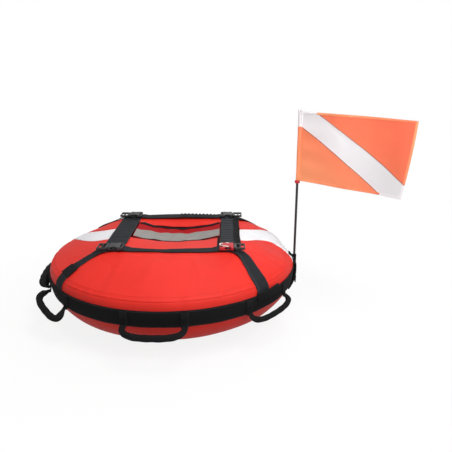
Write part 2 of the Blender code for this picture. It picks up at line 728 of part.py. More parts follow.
def build_straps():
    inner_end = FRAME_HALF - CORNER_GAP
    for name, front in (("strap_front", -1), ("strap_back", 1)):
        count = 28 if front < 0 else 40
        path = [
            plan_point(FRAME_CENTRE_X + x, front * FRAME_HALF) for x in spread(-inner_end, inner_end, count)
        ]
        ribs = None
        if front > 0:
            ribs = [not (0.0 < p.x < RIBBED_TO and index % 2) for index, p in enumerate(path)]
        laid_strip(name, path, STRAP_WIDTH, strap_lift, STRAP_THICKNESS, DARK, columns=4, ribs=ribs)
    for front_name, front in (("front", -1), ("back", 1)):
        for side_name in ("left", "right"):
            name = "strap_end_" + front_name + "_" + side_name
            path = strap_end_path(side_name, front, 24)
            laid_strip(name, path, STRAP_WIDTH, strap_lift, STRAP_THICKNESS, DARK, columns=4)
        patch = strap_end_path("left", front, 40)[slice(*PATCH_SPAN)]
        rise = STRAP_LIFT + STRAP_THICKNESS + 2 * CLEARANCE
        name = "strap_patch_" + front_name
        laid_strip(name, patch, PATCH_WIDTH, rise, PATCH_THICKNESS, BLACK)

    reach = LEVEL_HALF - 20 * CLEARANCE
    for name, side in (("band_left", -1), ("band_right", 1)):
        count = 2 * RIB_COUNT + 1
        x = FRAME_CENTRE_X + side * FRAME_HALF
        path = [plan_point(x, y) for y in spread(-reach, reach, count)]
        ribs = [index % 2 == 0 for index in range(count)] if side > 0 else None
        laid_strip(name, path, BAND_WIDTH, BAND_LIFT, BAND_THICKNESS, DARK, columns=4, ribs=ribs)
    tail_reach = FRAME_HALF - STRAP_WIDTH / 2 - 10 * CLEARANCE
    x = FRAME_CENTRE_X + FRAME_HALF + BAND_WIDTH / 2 - 0.55 * TAIL_WIDTH
    path = [plan_point(x, y) for y in spread(-tail_reach, tail_reach, 16)]
    rise = BAND_LIFT + BAND_THICKNESS + 1.5 * CLEARANCE
    laid_strip("strap_tail", path, TAIL_WIDTH, rise, TAIL_THICKNESS, BLACK)


# Flaps, lid and zip inside the strap frame


def cloth_panel(name, x_half, y_start, y_end, height, thickness, colour, columns, rows):
    """A hanging cloth panel: a grid whose height is a function of its place, thickened downwards."""
    bm = bmesh.new()
    bmesh.ops.create_grid(bm, x_segments=columns, y_segments=rows, size=0.5)
    for vertex in bm.verts:
        x = FRAME_CENTRE_X + vertex.co.x * 2 * x_half
        y = y_start + (vertex.co.y + 0.5) * (y_end - y_start)
        vertex.co = (x, y, height(x, y))
    obj = place(name, mesh_from(bm, name), colour, 0.7)
    solidify(obj, thickness, -1.0)
    return obj


def across_share(x, half):
    """1 in the middle of a panel and 0 at its two ends."""
    return max(0.0, 1 - ((x - FRAME_CENTRE_X) / half) ** 2)


def flap_height(x, y):
    """The flaps leave the cover level and hang lower towards their free edges."""
    if y < 0:
        share = (y + OPENING_HALF_Y) / (FLAP_EDGE_FRONT + OPENING_HALF_Y)
    else:
        share = (OPENING_HALF_Y - y) / (OPENING_HALF_Y - FLAP_EDGE_BACK)
    return crown(x, y) - FLAP_SAG * across_share(x, OPENING_HALF_X) * min(1.0, max(0.0, share)) ** 1.4


def lid_height(x, y):
    level = crown(FRAME_CENTRE_X + LID_HALF_X, 0.0) - LID_DROP
    return level - LID_SAG * across_share(x, LID_HALF_X)


def zip_radius():
    """Radius of the arc that the zip hangs in."""
    return (ZIP_HALF_X ** 2 + LID_SAG ** 2) / (2 * LID_SAG)


def zip_height(x):
    lowest = lid_height(FRAME_CENTRE_X, ZIP_Y)
    offset = x - FRAME_CENTRE_X
    return lowest + zip_radius() - math.sqrt(zip_radius() ** 2 - offset ** 2)


def build_lid():
    half = OPENING_HALF_X - FLAP_GAP
    edge = OPENING_HALF_Y - FLAP_GAP
    cloth_panel("front_flap", half, -edge, FLAP_EDGE_FRONT, flap_height, CLOTH, RED, 14, 4)
    cloth_panel("back_flap", half, FLAP_EDGE_BACK, edge, flap_height, CLOTH, RED, 14, 2)

    y = FLAP_EDGE_FRONT + BINDING_RADIUS + CLEARANCE
    path = []
    reach = FRAME_HALF - BAND_WIDTH / 2 - 2 * CLEARANCE
    for x in spread(FRAME_CENTRE_X - reach, FRAME_CENTRE_X + reach, 15):
        path.append(Vector((x, y, flap_height(x, FLAP_EDGE_FRONT) - CLOTH / 2)))
    place("flap_binding", tube("flap_binding", path, BINDING_RADIUS), BLACK, 0.85)

    cloth_panel("lid", LID_HALF_X, LID_FRONT, LID_BACK, lid_height, CLOTH, DEEP_RED, 14, 2)
    stripe_rise = CLOTH * 0.6 + CLEARANCE

    def stripe_height(x, y):
        return lid_height(x, y) + stripe_rise

    cloth_panel(
        "lid_stripe", LID_HALF_X - LID_STRIPE_INSET, LID_FRONT + LID_STRIPE_INSET, LID_STRIPE_BACK,
        stripe_height, CLOTH * 0.6, GREY, 14, 1,
    )

    # The zip hangs in an arc, so that its slider can follow it on one hinge.
    def zip_top(x, _):
        return zip_height(x)

    cloth_panel(
        "lid_zip", ZIP_HALF_X, ZIP_Y - ZIP_WIDTH / 2, ZIP_Y + ZIP_WIDTH / 2, zip_top, ZIP_THICKNESS,
        BLACK, 24, 1,
    )
    start = -(ZIP_HALF_X - SLIDER_INSET)
    tilt = math.asin(start / zip_radius())
    rise = ZIP_THICKNESS * 0.6 + CLEARANCE
    turn = Matrix.Rotation(-tilt, 4, "Y")
    bm = bmesh.new()
    base = Vector((FRAME_CENTRE_X + start, ZIP_Y, zip_height(FRAME_CENTRE_X + start)))
    up = turn @ Vector((0.0, 0.0, 1.0))
    box_into(bm, (SLIDER_LENGTH, ZIP_WIDTH, SLIDER_THICKNESS), base + up * rise, turn)
    slider = place("zip_slider", mesh_from(bm, "zip_slider"), STEEL, 0.35, 1.0)
    pull = turn @ Vector((SLIDER_LENGTH * 0.9, 0.0, rise + SLIDER_THICKNESS / 2))
    pull_size = (SLIDER_LENGTH * 1.4, ZIP_WIDTH * 0.55, PULL_THICKNESS)
    tongue = box_mesh("zip_pull", pull_size, base + pull, turn)
    boolean(slider, cutter("zip_pull", tongue), "UNION")
    bevel = slider.modifiers.new("bevel", "BEVEL")
    bevel.width = CLEARANCE
    bevel.segments = 1


# Side-release buckles at the four corners of the strap frame


def buckle_half(name, boxes, holes, matrix, colour, roughness):
    """One buckle half: boxes joined and boxes cut away, as (size, centre) pairs in the buckle's frame."""
    body = place(name, box_mesh(name, *boxes[0]), colour, roughness)
    for index, (size, centre) in enumerate(boxes[1:]):
        boolean(body, cutter(f"{name}_add{index}", box_mesh(name + "_add", size, centre)), "UNION")
    for index, (size, centre) in enumerate(holes):
        boolean(body, cutter(f"{name}_cut{index}", box_mesh(name + "_cut", size, centre)), "DIFFERENCE")
    for helper in cutters.objects:
        if helper.name.startswith((name + "_add", name + "_cut")):
            helper.matrix_world = matrix
    body.matrix_world = matrix
    return body


def build_buckles():
    width, height, wall = BUCKLE_WIDTH, BUCKLE_HEIGHT, BUCKLE_WALL
    slot_width, slot_height = width - 4 * wall, height - 2 * wall
    bar_x = -BUCKLE_FEMALE + (BUCKLE_BAR + BUCKLE_BAR_SLOT) / 2 - 5 * CLEARANCE
    female = [((BUCKLE_FEMALE, width, height), (-BUCKLE_FEMALE / 2, 0.0, height / 2))]
    female_cuts = [
        ((2 * (BUCKLE_PRONG + 0.002), slot_width, slot_height), (0.0, 0.0, height / 2)),
        ((BUCKLE_WINDOW, width * 1.2, slot_height * 0.9), (-BUCKLE_PRONG / 2, 0.0, height / 2)),
        ((BUCKLE_BAR_SLOT, slot_width, 2 * height), (bar_x, 0.0, 0.0)),
    ]
    play = BUCKLE_PLAY
    base_x = play + BUCKLE_MALE / 2
    prong_height = slot_height - 2 * play
    prong_x = -BUCKLE_PRONG / 2 + 0.002
    male = [
        ((BUCKLE_MALE, width * 0.92, height - 2 * play), (base_x, 0.0, height / 2)),
        ((BUCKLE_PRONG, TONGUE_WIDTH, prong_height), (prong_x, 0.0, height / 2)),
    ]
    for side in (-1, 1):
        y = side * (slot_width / 2 - play - PRONG_WIDTH / 2)
        male.append(((BUCKLE_PRONG, PRONG_WIDTH, prong_height), (prong_x, y, height / 2)))
    male_cuts = []
    for x in (BUCKLE_MALE * 0.42, BUCKLE_MALE * 0.78):
        male_cuts.append(((BUCKLE_BAR_SLOT, slot_width, 2 * height), (x, 0.0, 0.0)))

    for front_name, front in (("front", -1), ("back", 1)):
        for side_name, side in (("left", -1), ("right", 1)):
            inner = FRAME_HALF - BAND_WIDTH / 2
            highest = crown(FRAME_CENTRE_X + side * inner, FRAME_HALF - STRAP_WIDTH / 2)
            stack = BAND_LIFT + BAND_THICKNESS + STRAP_THICKNESS + 5 * CLEARANCE
            x = FRAME_CENTRE_X + side * (FRAME_HALF + BUCKLE_SHIFT)
            corner = Vector((x, front * FRAME_HALF, highest + stack))
            matrix = Matrix.Translation(corner) @ Matrix.Rotation(0.0 if side > 0 else math.pi, 4, "Z")
            colour = RED if (front_name, side_name) == ("front", "right") else BLACK
            label = front_name + "_" + side_name
            buckle_half("buckle_" + label, female, female_cuts, matrix, colour, 0.4)
            buckle_half("buckle_prongs_" + label, male, male_cuts, matrix, BLACK, 0.4)


# Handles round the belt, and the tow ring


def build_handles():
    root_radius = TAB_FACE + HANDLE_END_RADIUS + 4 / 3 * CLEARANCE
    for name, azimuth, half_angle, droop_angle in HANDLES:
        half = root_radius * math.sin(math.radians(half_angle))
        base = root_radius * math.cos(math.radians(half_angle))
        outline = [(half, -0.88 * HANDLE_END_RADIUS, 0.45), (half, 0.0, 1.0)]
        outline.append((half, 1.5 * HANDLE_END_RADIUS, 1.25))
        for angle in spread(0.0, 90.0, 6):
            a = math.radians(angle)
            side = half - HANDLE_CORNER * (1 - math.cos(a))
            out = HANDLE_REACH - HANDLE_CORNER * 0.8 * (1 - math.sin(a))
            outline.append((side, out, HANDLE_GRIP * (0.8 + 0.2 * math.sin(a))))
        outline.append((0.0, HANDLE_REACH, HANDLE_GRIP))
        outline += [(-s, out, share) for s, out, share in outline[-2::-1]]
        turn = Matrix.Rotation(math.radians(azimuth), 4, "Z")
        droop = Matrix.Rotation(math.radians(droop_angle), 4, "Y")
        points = [droop @ Vector((out, s, 0.0)) for s, out, _ in outline]
        radii = [share for _, _, share in outline]
        mesh = tube("handle_" + name, points, HANDLE_END_RADIUS, radii)
        handle = place("handle_" + name, mesh, BLACK, 0.85)
        handle.matrix_world = turn @ Matrix.Translation((base, 0.0, HANDLE_Z))


def build_tow_ring():
    turn = Matrix.Rotation(math.radians(RING_AZIMUTH), 4, "Z")
    face = BODY_RADIUS + BELT_LIFT + BELT_THICKNESS + CLEARANCE
    inner = RING_WIRE + RING_PLAY
    outer = inner + RING_WEBBING
    axis_radius = face + outer + RING_STANDOFF
    axis_z = BELT_FOOT - RING_WIRE * 0.8
    tail_top = BELT_TOP - 0.12 * BELT_WIDTH

    # Webbing loop: a flat tail on the belt that ends in an eye round the ring's bar.
    section = [(face, tail_top), (face, axis_z)]
    for angle in spread(180.0, 360.0, 10)[1:]:
        a = math.radians(angle)
        section.append((axis_radius + outer * math.cos(a), axis_z + outer * math.sin(a)))
    section.append((axis_radius + outer, axis_z + inner))
    section.append((face + RING_NECK, axis_z + inner + RING_NECK_RISE))
    section.append((face + RING_TAIL, tail_top))
    bm = bmesh.new()
    ends = []
    for y in (-RING_TAB_WIDTH / 2, RING_TAB_WIDTH / 2):
        ends.append([bm.verts.new((x, y, z)) for x, z in section])
    count = len(section)
    bm.faces.new(ends[0])
    bm.faces.new(ends[1][::-1])
    for index in range(count):
        after = (index + 1) % count
        bm.faces.new((ends[0][index], ends[1][index], ends[1][after], ends[0][after]))
    bmesh.ops.recalc_face_normals(bm, faces=bm.faces)
    tab = place("tow_loop", mesh_from(bm, "tow_loop"), BLACK, 0.85)
    along = Matrix.Translation((axis_radius, 0.0, axis_z)) @ Matrix.Rotation(math.pi / 2, 4, "X")
    bore = cutter("tow_bore", cylinder_mesh("tow_bore", inner, 2 * RING_TAB_WIDTH, along, 12))
    bore.matrix_world = turn
    boolean(tab, bore, "DIFFERENCE")
    tab.matrix_world = turn

    half = RING_TAB_WIDTH / 2 + 1.6 * RING_WIRE
    points = [Vector((0.0, 0.0, 0.0)), Vector((0.0, half, 0.0))]
    for angle in spread(20.0, 160.0, 9):
        a = math.radians(angle)
        points.append(Vector((0.0, RING_HALF * math.cos(a), -2.4 * RING_WIRE - RING_HALF * math.sin(a))))
    points.append(Vector((0.0, -half, 0.0)))
    ring = closed_tube("tow_ring", points, RING_WIRE)
    obj = place("tow_ring", ring, STEEL, 0.3, 1.0)
    obj.matrix_world = turn @ Matrix.Translation((axis_radius, 0.0, axis_z))


def closed_tube(name, points, radius):
    """A ring of wire through points."""
    curve = bpy.data.curves.new(name, "CURVE")
    curve.dimensions = "3D"
    curve.bevel_depth = radius
    curve.bevel_resolution = 2
    spline = curve.splines.new("POLY")
    spline.points.add(len(points) - 1)
    for index, point in enumerate(points):
        spline.points[index].co = (*point, 1.0)
    spline.use_cyclic_u = True
    guide = bpy.data.objects.new(name + "_guide", curve)
    bpy.context.scene.collection.objects.link(guide)
    bpy.context.view_layer.update()
    mesh = bpy.data.meshes.new_from_object(guide.evaluated_get(bpy.context.evaluated_depsgraph_get()))
    bpy.data.objects.remove(guide)
    return mesh


# Pole, pocket and flag


def build_pole():
    seat = Matrix.Translation((POLE_X, POLE_Y, 0.0))
    bore = POLE_RADIUS + POLE_SLACK
    foot = POCKET_FOOT + POCKET_FLOOR
    pocket = [(POCKET_RADIUS, POCKET_TOP), (POCKET_RADIUS, POCKET_FOOT), (0.0, POCKET_FOOT)]
    pocket += [(0.0, foot), (bore, foot), (bore, POCKET_TOP)]
    turned("pole_pocket", pocket, 16, BLACK, 0.85, matrix=seat)

    pole_foot = foot + CLEARANCE
    boot_top = pole_foot + BOOT_HEIGHT
    boot = [(POLE_RADIUS, boot_top), (POLE_RADIUS, pole_foot), (0.0, pole_foot), (0.0, boot_top)]
    turned("pole_boot", boot, 12, BLACK, 0.7, matrix=seat)
    start = boot_top + CLEARANCE
    rod = [(POLE_RADIUS, POLE_TOP), (POLE_RADIUS, start), (0.0, start), (0.0, POLE_TOP)]
    turned("pole", rod, 12, BLACK, 0.4, matrix=seat)
    cap_foot = POLE_TOP + CLEARANCE
    rim = POLE_RADIUS + POLE_CAP_RIM
    cap = [(0.0, cap_foot + POLE_CAP_HEIGHT), (POLE_RADIUS, cap_foot + 0.8 * POLE_CAP_HEIGHT)]
    cap += [(rim, cap_foot + 0.3 * POLE_CAP_HEIGHT), (rim, cap_foot), (0.0, cap_foot)]
    turned("pole_cap", cap, 12, BLACK, 0.5, matrix=seat)

    top = FLAG_BOTTOM - CLEARANCE
    inner = POLE_RADIUS + CLEARANCE
    lower = top - STOPPER_HEIGHT
    slope = 0.2 * STOPPER_HEIGHT
    ring = [(STOPPER_RADIUS * 0.8, top), (STOPPER_RADIUS, top - slope)]
    ring += [(STOPPER_RADIUS, lower + slope), (STOPPER_RADIUS * 0.8, lower)]
    ring += [(inner, lower), (inner, top)]
    turned("flag_stopper", ring, 16, RED, 0.5, matrix=seat)

    # A narrow tie wraps the pocket and leaves one tail up and one tail down.
    points = []
    for angle, depth, off in TIE_COURSE:
        a = math.radians(angle)
        out = POCKET_RADIUS + CLEARANCE + TIE_RADIUS + off
        points.append(Vector((POLE_X + out * math.cos(a), POLE_Y + out * math.sin(a), POCKET_TOP - depth)))
    place("pole_tie", tube("pole_tie", points, TIE_RADIUS), BLACK, 0.8)


def flag_point(u, v):
    """Place of a point of the flag, u out from the pole's axis and v up from its lower edge."""
    share = u / FLAG_LENGTH
    rise = v / FLAG_HEIGHT
    swing = math.radians(-FLAG_SWING - FLAG_TWIST * (1 - rise))
    wave = FLAG_WAVE * share ** 0.7 * math.sin(math.tau * (u / FLAG_WAVE_LENGTH + FLAG_WAVE_LEAN * rise))
    along = Vector((math.cos(swing), math.sin(swing), 0.0))
    across = Vector((-math.sin(swing), math.cos(swing), 0.0))
    sink = (FLAG_LOWER_DROOP + (FLAG_DROOP - FLAG_LOWER_DROOP) * rise) * share ** 1.3
    return Vector((POLE_X, POLE_Y, FLAG_BOTTOM + v - sink)) + along * u + across * wave


def flag_panel(name, cuts, colour):
    """One cloth panel of the flag: a grid cut along lines and then hung in its folds.

    Each cut is a point and a direction that points away from the panel.
    """
    start = POLE_RADIUS + POLE_SLACK + SLEEVE_WALL + CLEARANCE
    bm = bmesh.new()
    bmesh.ops.create_grid(bm, x_segments=16, y_segments=7, size=0.5)
    for vertex in bm.verts:
        u = start + (vertex.co.x + 0.5) * (FLAG_LENGTH - start)
        vertex.co = (u, 0.0, (vertex.co.y + 0.5) * FLAG_HEIGHT)
    for point, away in cuts:
        everything = bm.verts[:] + bm.edges[:] + bm.faces[:]
        bmesh.ops.bisect_plane(
            bm, geom=everything, dist=0.00001, plane_co=point, plane_no=away, clear_outer=True
        )
    bmesh.ops.remove_doubles(bm, verts=bm.verts, dist=0.0004)
    for vertex in bm.verts:
        vertex.co = flag_point(vertex.co.x, vertex.co.z)
    obj = place(name, mesh_from(bm, name), colour, 0.6)
    solidify(obj, FLAG_CLOTH, 0.0)
    return obj


def build_flag():
    upper_start = Vector((STRIPE_TOP_START * FLAG_LENGTH, 0.0, FLAG_HEIGHT))
    upper_end = Vector((FLAG_LENGTH, 0.0, STRIPE_FLY_END * FLAG_HEIGHT))
    lower_start = Vector((0.0, 0.0, STRIPE_HOIST_START * FLAG_HEIGHT))
    lower_end = Vector((STRIPE_BOTTOM_END * FLAG_LENGTH, 0.0, 0.0))

    def upward(first, second):
        line = (second - first).normalized()
        return Vector((-line.z, 0.0, line.x))

    upper, lower = upward(upper_start, upper_end), upward(lower_start, lower_end)
    gap = CLEARANCE / 2
    flag_panel("flag_fly_panel", [(upper_start + upper * gap, -upper)], FLAG_ORANGE)
    flag_panel(
        "flag_stripe", [(upper_start - upper * gap, upper), (lower_start + lower * gap, -lower)], WHITE
    )
    flag_panel("flag_hoist_panel", [(lower_start - lower * gap, lower)], FLAG_ORANGE)

    bore = POLE_RADIUS + POLE_SLACK
    outer = bore + SLEEVE_WALL
    top = FLAG_BOTTOM + FLAG_HEIGHT
    sleeve = [(outer, top), (outer, FLAG_BOTTOM), (bore, FLAG_BOTTOM), (bore, top)]
    turned("flag_sleeve", sleeve, 12, FLAG_ORANGE, 0.6, matrix=Matrix.Translation((POLE_X, POLE_Y, 0.0)))


build_cover_top()
cover_bottom = build_sides_and_belt()
build_underside()
build_bladder(cover_bottom)
build_straps()
build_lid()
build_buckles()
build_handles()
build_tow_ring()
build_pole()
build_flag()
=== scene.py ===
"""Looks of a freediving buoy: an inflated ring in a red and white cloth cover, with a belt of webbing
handles, a strap frame round a zipped lid, and a flag on a thin pole.

Metres, +Z up. +X is the side of the pole, and -Y the front.
"""

import math

import bmesh
import bpy
import numpy as np
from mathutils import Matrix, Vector


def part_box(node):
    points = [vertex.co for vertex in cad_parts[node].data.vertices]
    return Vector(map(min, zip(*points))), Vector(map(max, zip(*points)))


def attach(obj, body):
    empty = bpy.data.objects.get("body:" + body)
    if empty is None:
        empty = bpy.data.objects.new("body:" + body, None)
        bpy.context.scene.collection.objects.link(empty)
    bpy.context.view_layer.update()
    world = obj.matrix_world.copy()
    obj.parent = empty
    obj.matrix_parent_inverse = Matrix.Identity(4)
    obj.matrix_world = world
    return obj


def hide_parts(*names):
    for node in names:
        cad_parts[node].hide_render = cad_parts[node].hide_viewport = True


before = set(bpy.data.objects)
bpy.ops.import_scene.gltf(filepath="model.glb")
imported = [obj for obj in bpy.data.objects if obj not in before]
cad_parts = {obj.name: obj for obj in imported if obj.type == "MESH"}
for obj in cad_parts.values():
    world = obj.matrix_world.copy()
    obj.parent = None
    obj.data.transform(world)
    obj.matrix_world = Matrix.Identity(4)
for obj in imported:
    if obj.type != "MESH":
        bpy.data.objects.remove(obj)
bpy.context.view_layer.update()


# Cover: red front and back panels
# Coated polyester cloth, cut to shape and pulled smooth by the inflated ring inside it. Each panel is sewn to
# the white stripe and, with its lower edge folded over, to the side band. It stops at the lid's square opening.

BODY_RADIUS = 0.400
FLAT_RADIUS = 0.150
WIDEST_Z = 0.157
UPPER_RISE = 0.096
CROWN_Z = WIDEST_Z + UPPER_RISE
SEAM_Z = 0.189
BULGE = 2.3  # power of the body's rounded section
DEPTH = BODY_RADIUS - FLAT_RADIUS
RIM_RADIUS = FLAT_RADIUS + DEPTH * (1 - ((SEAM_Z - WIDEST_Z) / UPPER_RISE) ** BULGE) ** (1 / BULGE)
LEVEL_HALF = 0.195  # half side of the level square under the strap frame
LEVEL_CORNER = 12.0
CLOTH = 0.0012
FRAME_X = 0.012
OPENING_X = 0.163
OPENING_Y = 0.170
STRIPE_WIDTH = 0.112
STRIPE_Y = -0.008
BEND_LEFT = 0.200  # where the stripe's edges start to bend, and where the front one starts to fall back
BEND_RIGHT_BACK = 0.215
BEND_RIGHT_FRONT = 0.218
BEND_RIGHT_LENGTH = 0.127
FALL_RIGHT_FRONT = 0.343
SEAM_LAP = 0.0045
SLUMP = 0.0140  # how far the shoulder by the pole sinks, and at which azimuth in radians
SLUMP_AT = 0.03
FULLER = 0.0050
FULLER_AT = 0.60
SLUMP_SPREAD = 0.30
SHARP_ANGLE = 50.0  # edges that turn more than this, in degrees, are drawn sharp
RED = (0.78, 0.030, 0.020)
WHITE = (0.84, 0.83, 0.85)


class Signal:
    """A value that varies over a surface. Sums, products and powers of signals add Math nodes."""

    def __init__(self, finish, socket):
        self.finish = finish
        self.socket = socket

    def work(self, operation, *terms):
        return self.finish.node("ShaderNodeMath", {"operation": operation}, dict(enumerate(terms)))

    def __add__(self, other):
        return self.work("ADD", self, other)

    def __radd__(self, other):
        return self.work("ADD", other, self)

    def __sub__(self, other):
        return self.work("SUBTRACT", self, other)

    def __rsub__(self, other):
        return self.work("SUBTRACT", other, self)

    def __mul__(self, other):
        return self.work("MULTIPLY", self, other)

    def __rmul__(self, other):
        return self.work("MULTIPLY", other, self)

    def __pow__(self, other):
        return self.work("POWER", self, other)

    def __abs__(self):
        return self.work("ABSOLUTE", self)

    def sine(self):
        return self.work("SINE", self)

    def step(self, low, high):
        """0 below low, 1 above high, and smooth between them."""
        settings = {"interpolation_type": "SMOOTHSTEP"}
        return self.finish.node("ShaderNodeMapRange", settings, {0: self, 1: low, 2: high})


class Finish:
    """A material that is built up node by node."""

    def __init__(self, name, roughness=0.5, metallic=0.0, **constants):
        self.material = bpy.data.materials.new(name)
        self.material.use_nodes = True
        self.tree = self.material.node_tree
        self.shader = self.tree.nodes["Principled BSDF"]
        self.shader.inputs["Roughness"].default_value = roughness
        self.shader.inputs["Metallic"].default_value = metallic
        for name, value in constants.items():
            self.shader.inputs[name.replace("_", " ")].default_value = value

    def node(self, kind, settings, inputs, output=0):
        """Add a node, with its settings set first and then its sockets' values or links; give one output."""
        made = self.tree.nodes.new(kind)
        for name, value in settings.items():
            setattr(made, name, value)
        for name, value in inputs.items():
            if isinstance(value, Signal):
                self.tree.links.new(value.socket, made.inputs[name])
            else:
                made.inputs[name].default_value = value
        return Signal(self, made.outputs[output])

    def place(self, source):
        """The point on the surface: Object coordinates, or UV in metres along and across a piece."""
        return self.node("ShaderNodeTexCoord", {}, {}, source)

    def axes(self, source):
        point = self.place(source)
        made = self.tree.nodes.new("ShaderNodeSeparateXYZ")
        self.tree.links.new(point.socket, made.inputs[0])
        return [Signal(self, made.outputs[index]) for index in range(3)]

    def noise(self, scale, detail=2.0, source="Object"):
        """Smooth noise about 0.5, with features of about 1 / scale metres."""
        inputs = {"Vector": self.place(source), "Scale": scale, "Detail": detail}
        return self.node("ShaderNodeTexNoise", {}, inputs)

    def mix(self, share, first, second):
        """A colour between two colours."""
        def full(colour):
            return colour if isinstance(colour, Signal) else (*colour, 1.0)

        inputs = {0: share, 6: full(first), 7: full(second)}
        return self.node("ShaderNodeMix", {"data_type": "RGBA"}, inputs, 2)

    def feed(self, name, signal):
        self.tree.links.new(signal.socket, self.shader.inputs[name])

    def vary(self, tone, dark, light, roughness=0.5, rougher=0.0):
        """Let a tone from 0 to 1 take the colour from dark to light, and the roughness up from its lowest."""
        self.feed("Base Color", self.mix(tone, dark, light))
        if rougher:
            self.feed("Roughness", roughness + tone * rougher)
        return tone

    def bump(self, height, depth):
        """Raise the surface by a height between 0 and 1, times a depth in metres."""
        inputs = {"Height": height, "Distance": depth, "Strength": 1.0}
        self.feed("Normal", self.node("ShaderNodeBump", {}, inputs))


def shaded(colour, share):
    return tuple(channel * share for channel in colour)


def cloth_finish(name, colour, roughness=0.5, pitch=0.0011, gloss=0.18):
    """Plain-woven coated cloth: crossing threads as a fine bump, and soft changes of tone."""
    finish = Finish(name, roughness, Specular_IOR_Level=gloss)
    along, across, _ = finish.axes("UV")
    threads = (along * (math.tau / pitch)).sine() * (across * (math.tau / pitch)).sine()
    tone = finish.noise(7.0) * 0.7 + finish.noise(60.0) * 0.3
    finish.vary(tone, shaded(colour, 0.86), shaded(colour, 1.12), roughness - 0.08, 0.16)
    finish.bump(threads * 0.5 + finish.noise(260.0) * 0.8, 0.00012)
    return finish


def ramp(value, start, length):
    """0 up to a start, then straight up to 1 over a length, and 1 from there on."""
    return np.clip((value - start) / length, 0.0, 1.0)


def eased(share):
    """A share from 0 to 1 that leaves and arrives level."""
    return share * share * (3 - 2 * share)


def bell(value, width):
    """1 at 0, and falling away to both sides over a width."""
    return np.exp(-(value / width) ** 2)


def crown(x, y):
    """Height of the cover's top: level under the strap frame, then down to the side seam.

    The level part is a square with round corners. Outside it the height follows one arc of a rounded
    power curve out to the seam's radius, and past the seam the body's own rounded section.
    """
    distance = np.maximum(np.hypot(x, y), 1e-9)
    corner = (np.abs(x) ** LEVEL_CORNER + np.abs(y) ** LEVEL_CORNER) ** (1 / LEVEL_CORNER)
    level = np.minimum(LEVEL_HALF * distance / corner, RIM_RADIUS - 0.05)
    share = np.clip((distance - level) / (RIM_RADIUS - level), 0.0, 1.0)
    inside = SEAM_Z + (CROWN_Z - SEAM_Z) * (1 - share ** 1.25) ** (1 / 1.1)
    share = np.clip((distance - FLAT_RADIUS) / DEPTH, 0.0, 1.0)
    outside = WIDEST_Z + UPPER_RISE * (1 - share ** BULGE) ** (1 / BULGE)
    return np.where(distance < RIM_RADIUS, inside, outside)


def section_radius(z):
    """Radius of the body at a height: a rounded section, flatter than an ellipse, about the widest level."""
    rise = np.where(z > WIDEST_Z, UPPER_RISE, WIDEST_Z)
    share = np.clip(np.abs(z - WIDEST_Z) / rise, 0.0, 1.0)
    return FLAT_RADIUS + DEPTH * (1 - share ** BULGE) ** (1 / BULGE)


def stripe_edge(x, side):
    """Y of the white stripe's edge: straight over the top, then curved backwards.

    On the left it bends as the square of the distance past the strap frame. On the right the back edge bends
    as a power a little over one, and the front edge along half a wave that falls forwards again at its end.
    """
    turned = 6.0 * np.maximum(0.0, -x - BEND_LEFT) ** 2
    if side > 0:
        turned = turned + 1.95 * np.maximum(0.0, x - BEND_RIGHT_BACK) ** 1.22
    else:
        half_wave = 1 - np.cos(math.pi * ramp(x, BEND_RIGHT_FRONT, BEND_RIGHT_LENGTH))
        turned = turned + 0.0605 * half_wave - 13.0 * np.maximum(0.0, x - FALL_RIGHT_FRONT) ** 2
    return STRIPE_Y + side * STRIPE_WIDTH / 2 + turned


def unit(vectors):
    return vectors / np.maximum(np.linalg.norm(vectors, axis=-1, keepdims=True), 1e-12)


def joined(*parts):
    """Stack coordinates of any matching shapes into points."""
    return np.stack(np.broadcast_arrays(*parts), axis=-1).astype(float)


def polar(radius, azimuth, z):
    """Points at a radius from the Z axis, an azimuth in radians and a height."""
    return joined(radius * np.cos(azimuth), radius * np.sin(azimuth), z)


def on_crown(x, y):
    """Points of a plan, raised to the cover's top."""
    return joined(x, y, crown(x, y))


def cover_normal(points):
    """Outward direction of the cover: from the crown's slopes on top, from the section's curve on the side."""
    x, y, z = np.moveaxis(points, -1, 0)
    step = 0.0005
    slope_x = (crown(x + step, y) - crown(x - step, y)) / (2 * step)
    slope_y = (crown(x, y + step) - crown(x, y - step)) / (2 * step)
    on_top = unit(joined(-slope_x, -slope_y, 1.0))
    distance = np.maximum(np.hypot(x, y), 1e-9)
    rise = np.where(z > WIDEST_Z, UPPER_RISE, WIDEST_Z)
    across = np.maximum((distance - FLAT_RADIUS) / DEPTH, 0.0) ** (BULGE - 1) / DEPTH
    up = np.sign(z - WIDEST_Z) * (np.abs(z - WIDEST_Z) / rise) ** (BULGE - 1) / rise
    on_side = unit(joined(x / distance * across, y / distance * across, up))
    top = (distance < RIM_RADIUS - 0.001) & (z > WIDEST_Z)
    return np.where(top[..., None], on_top, on_side)


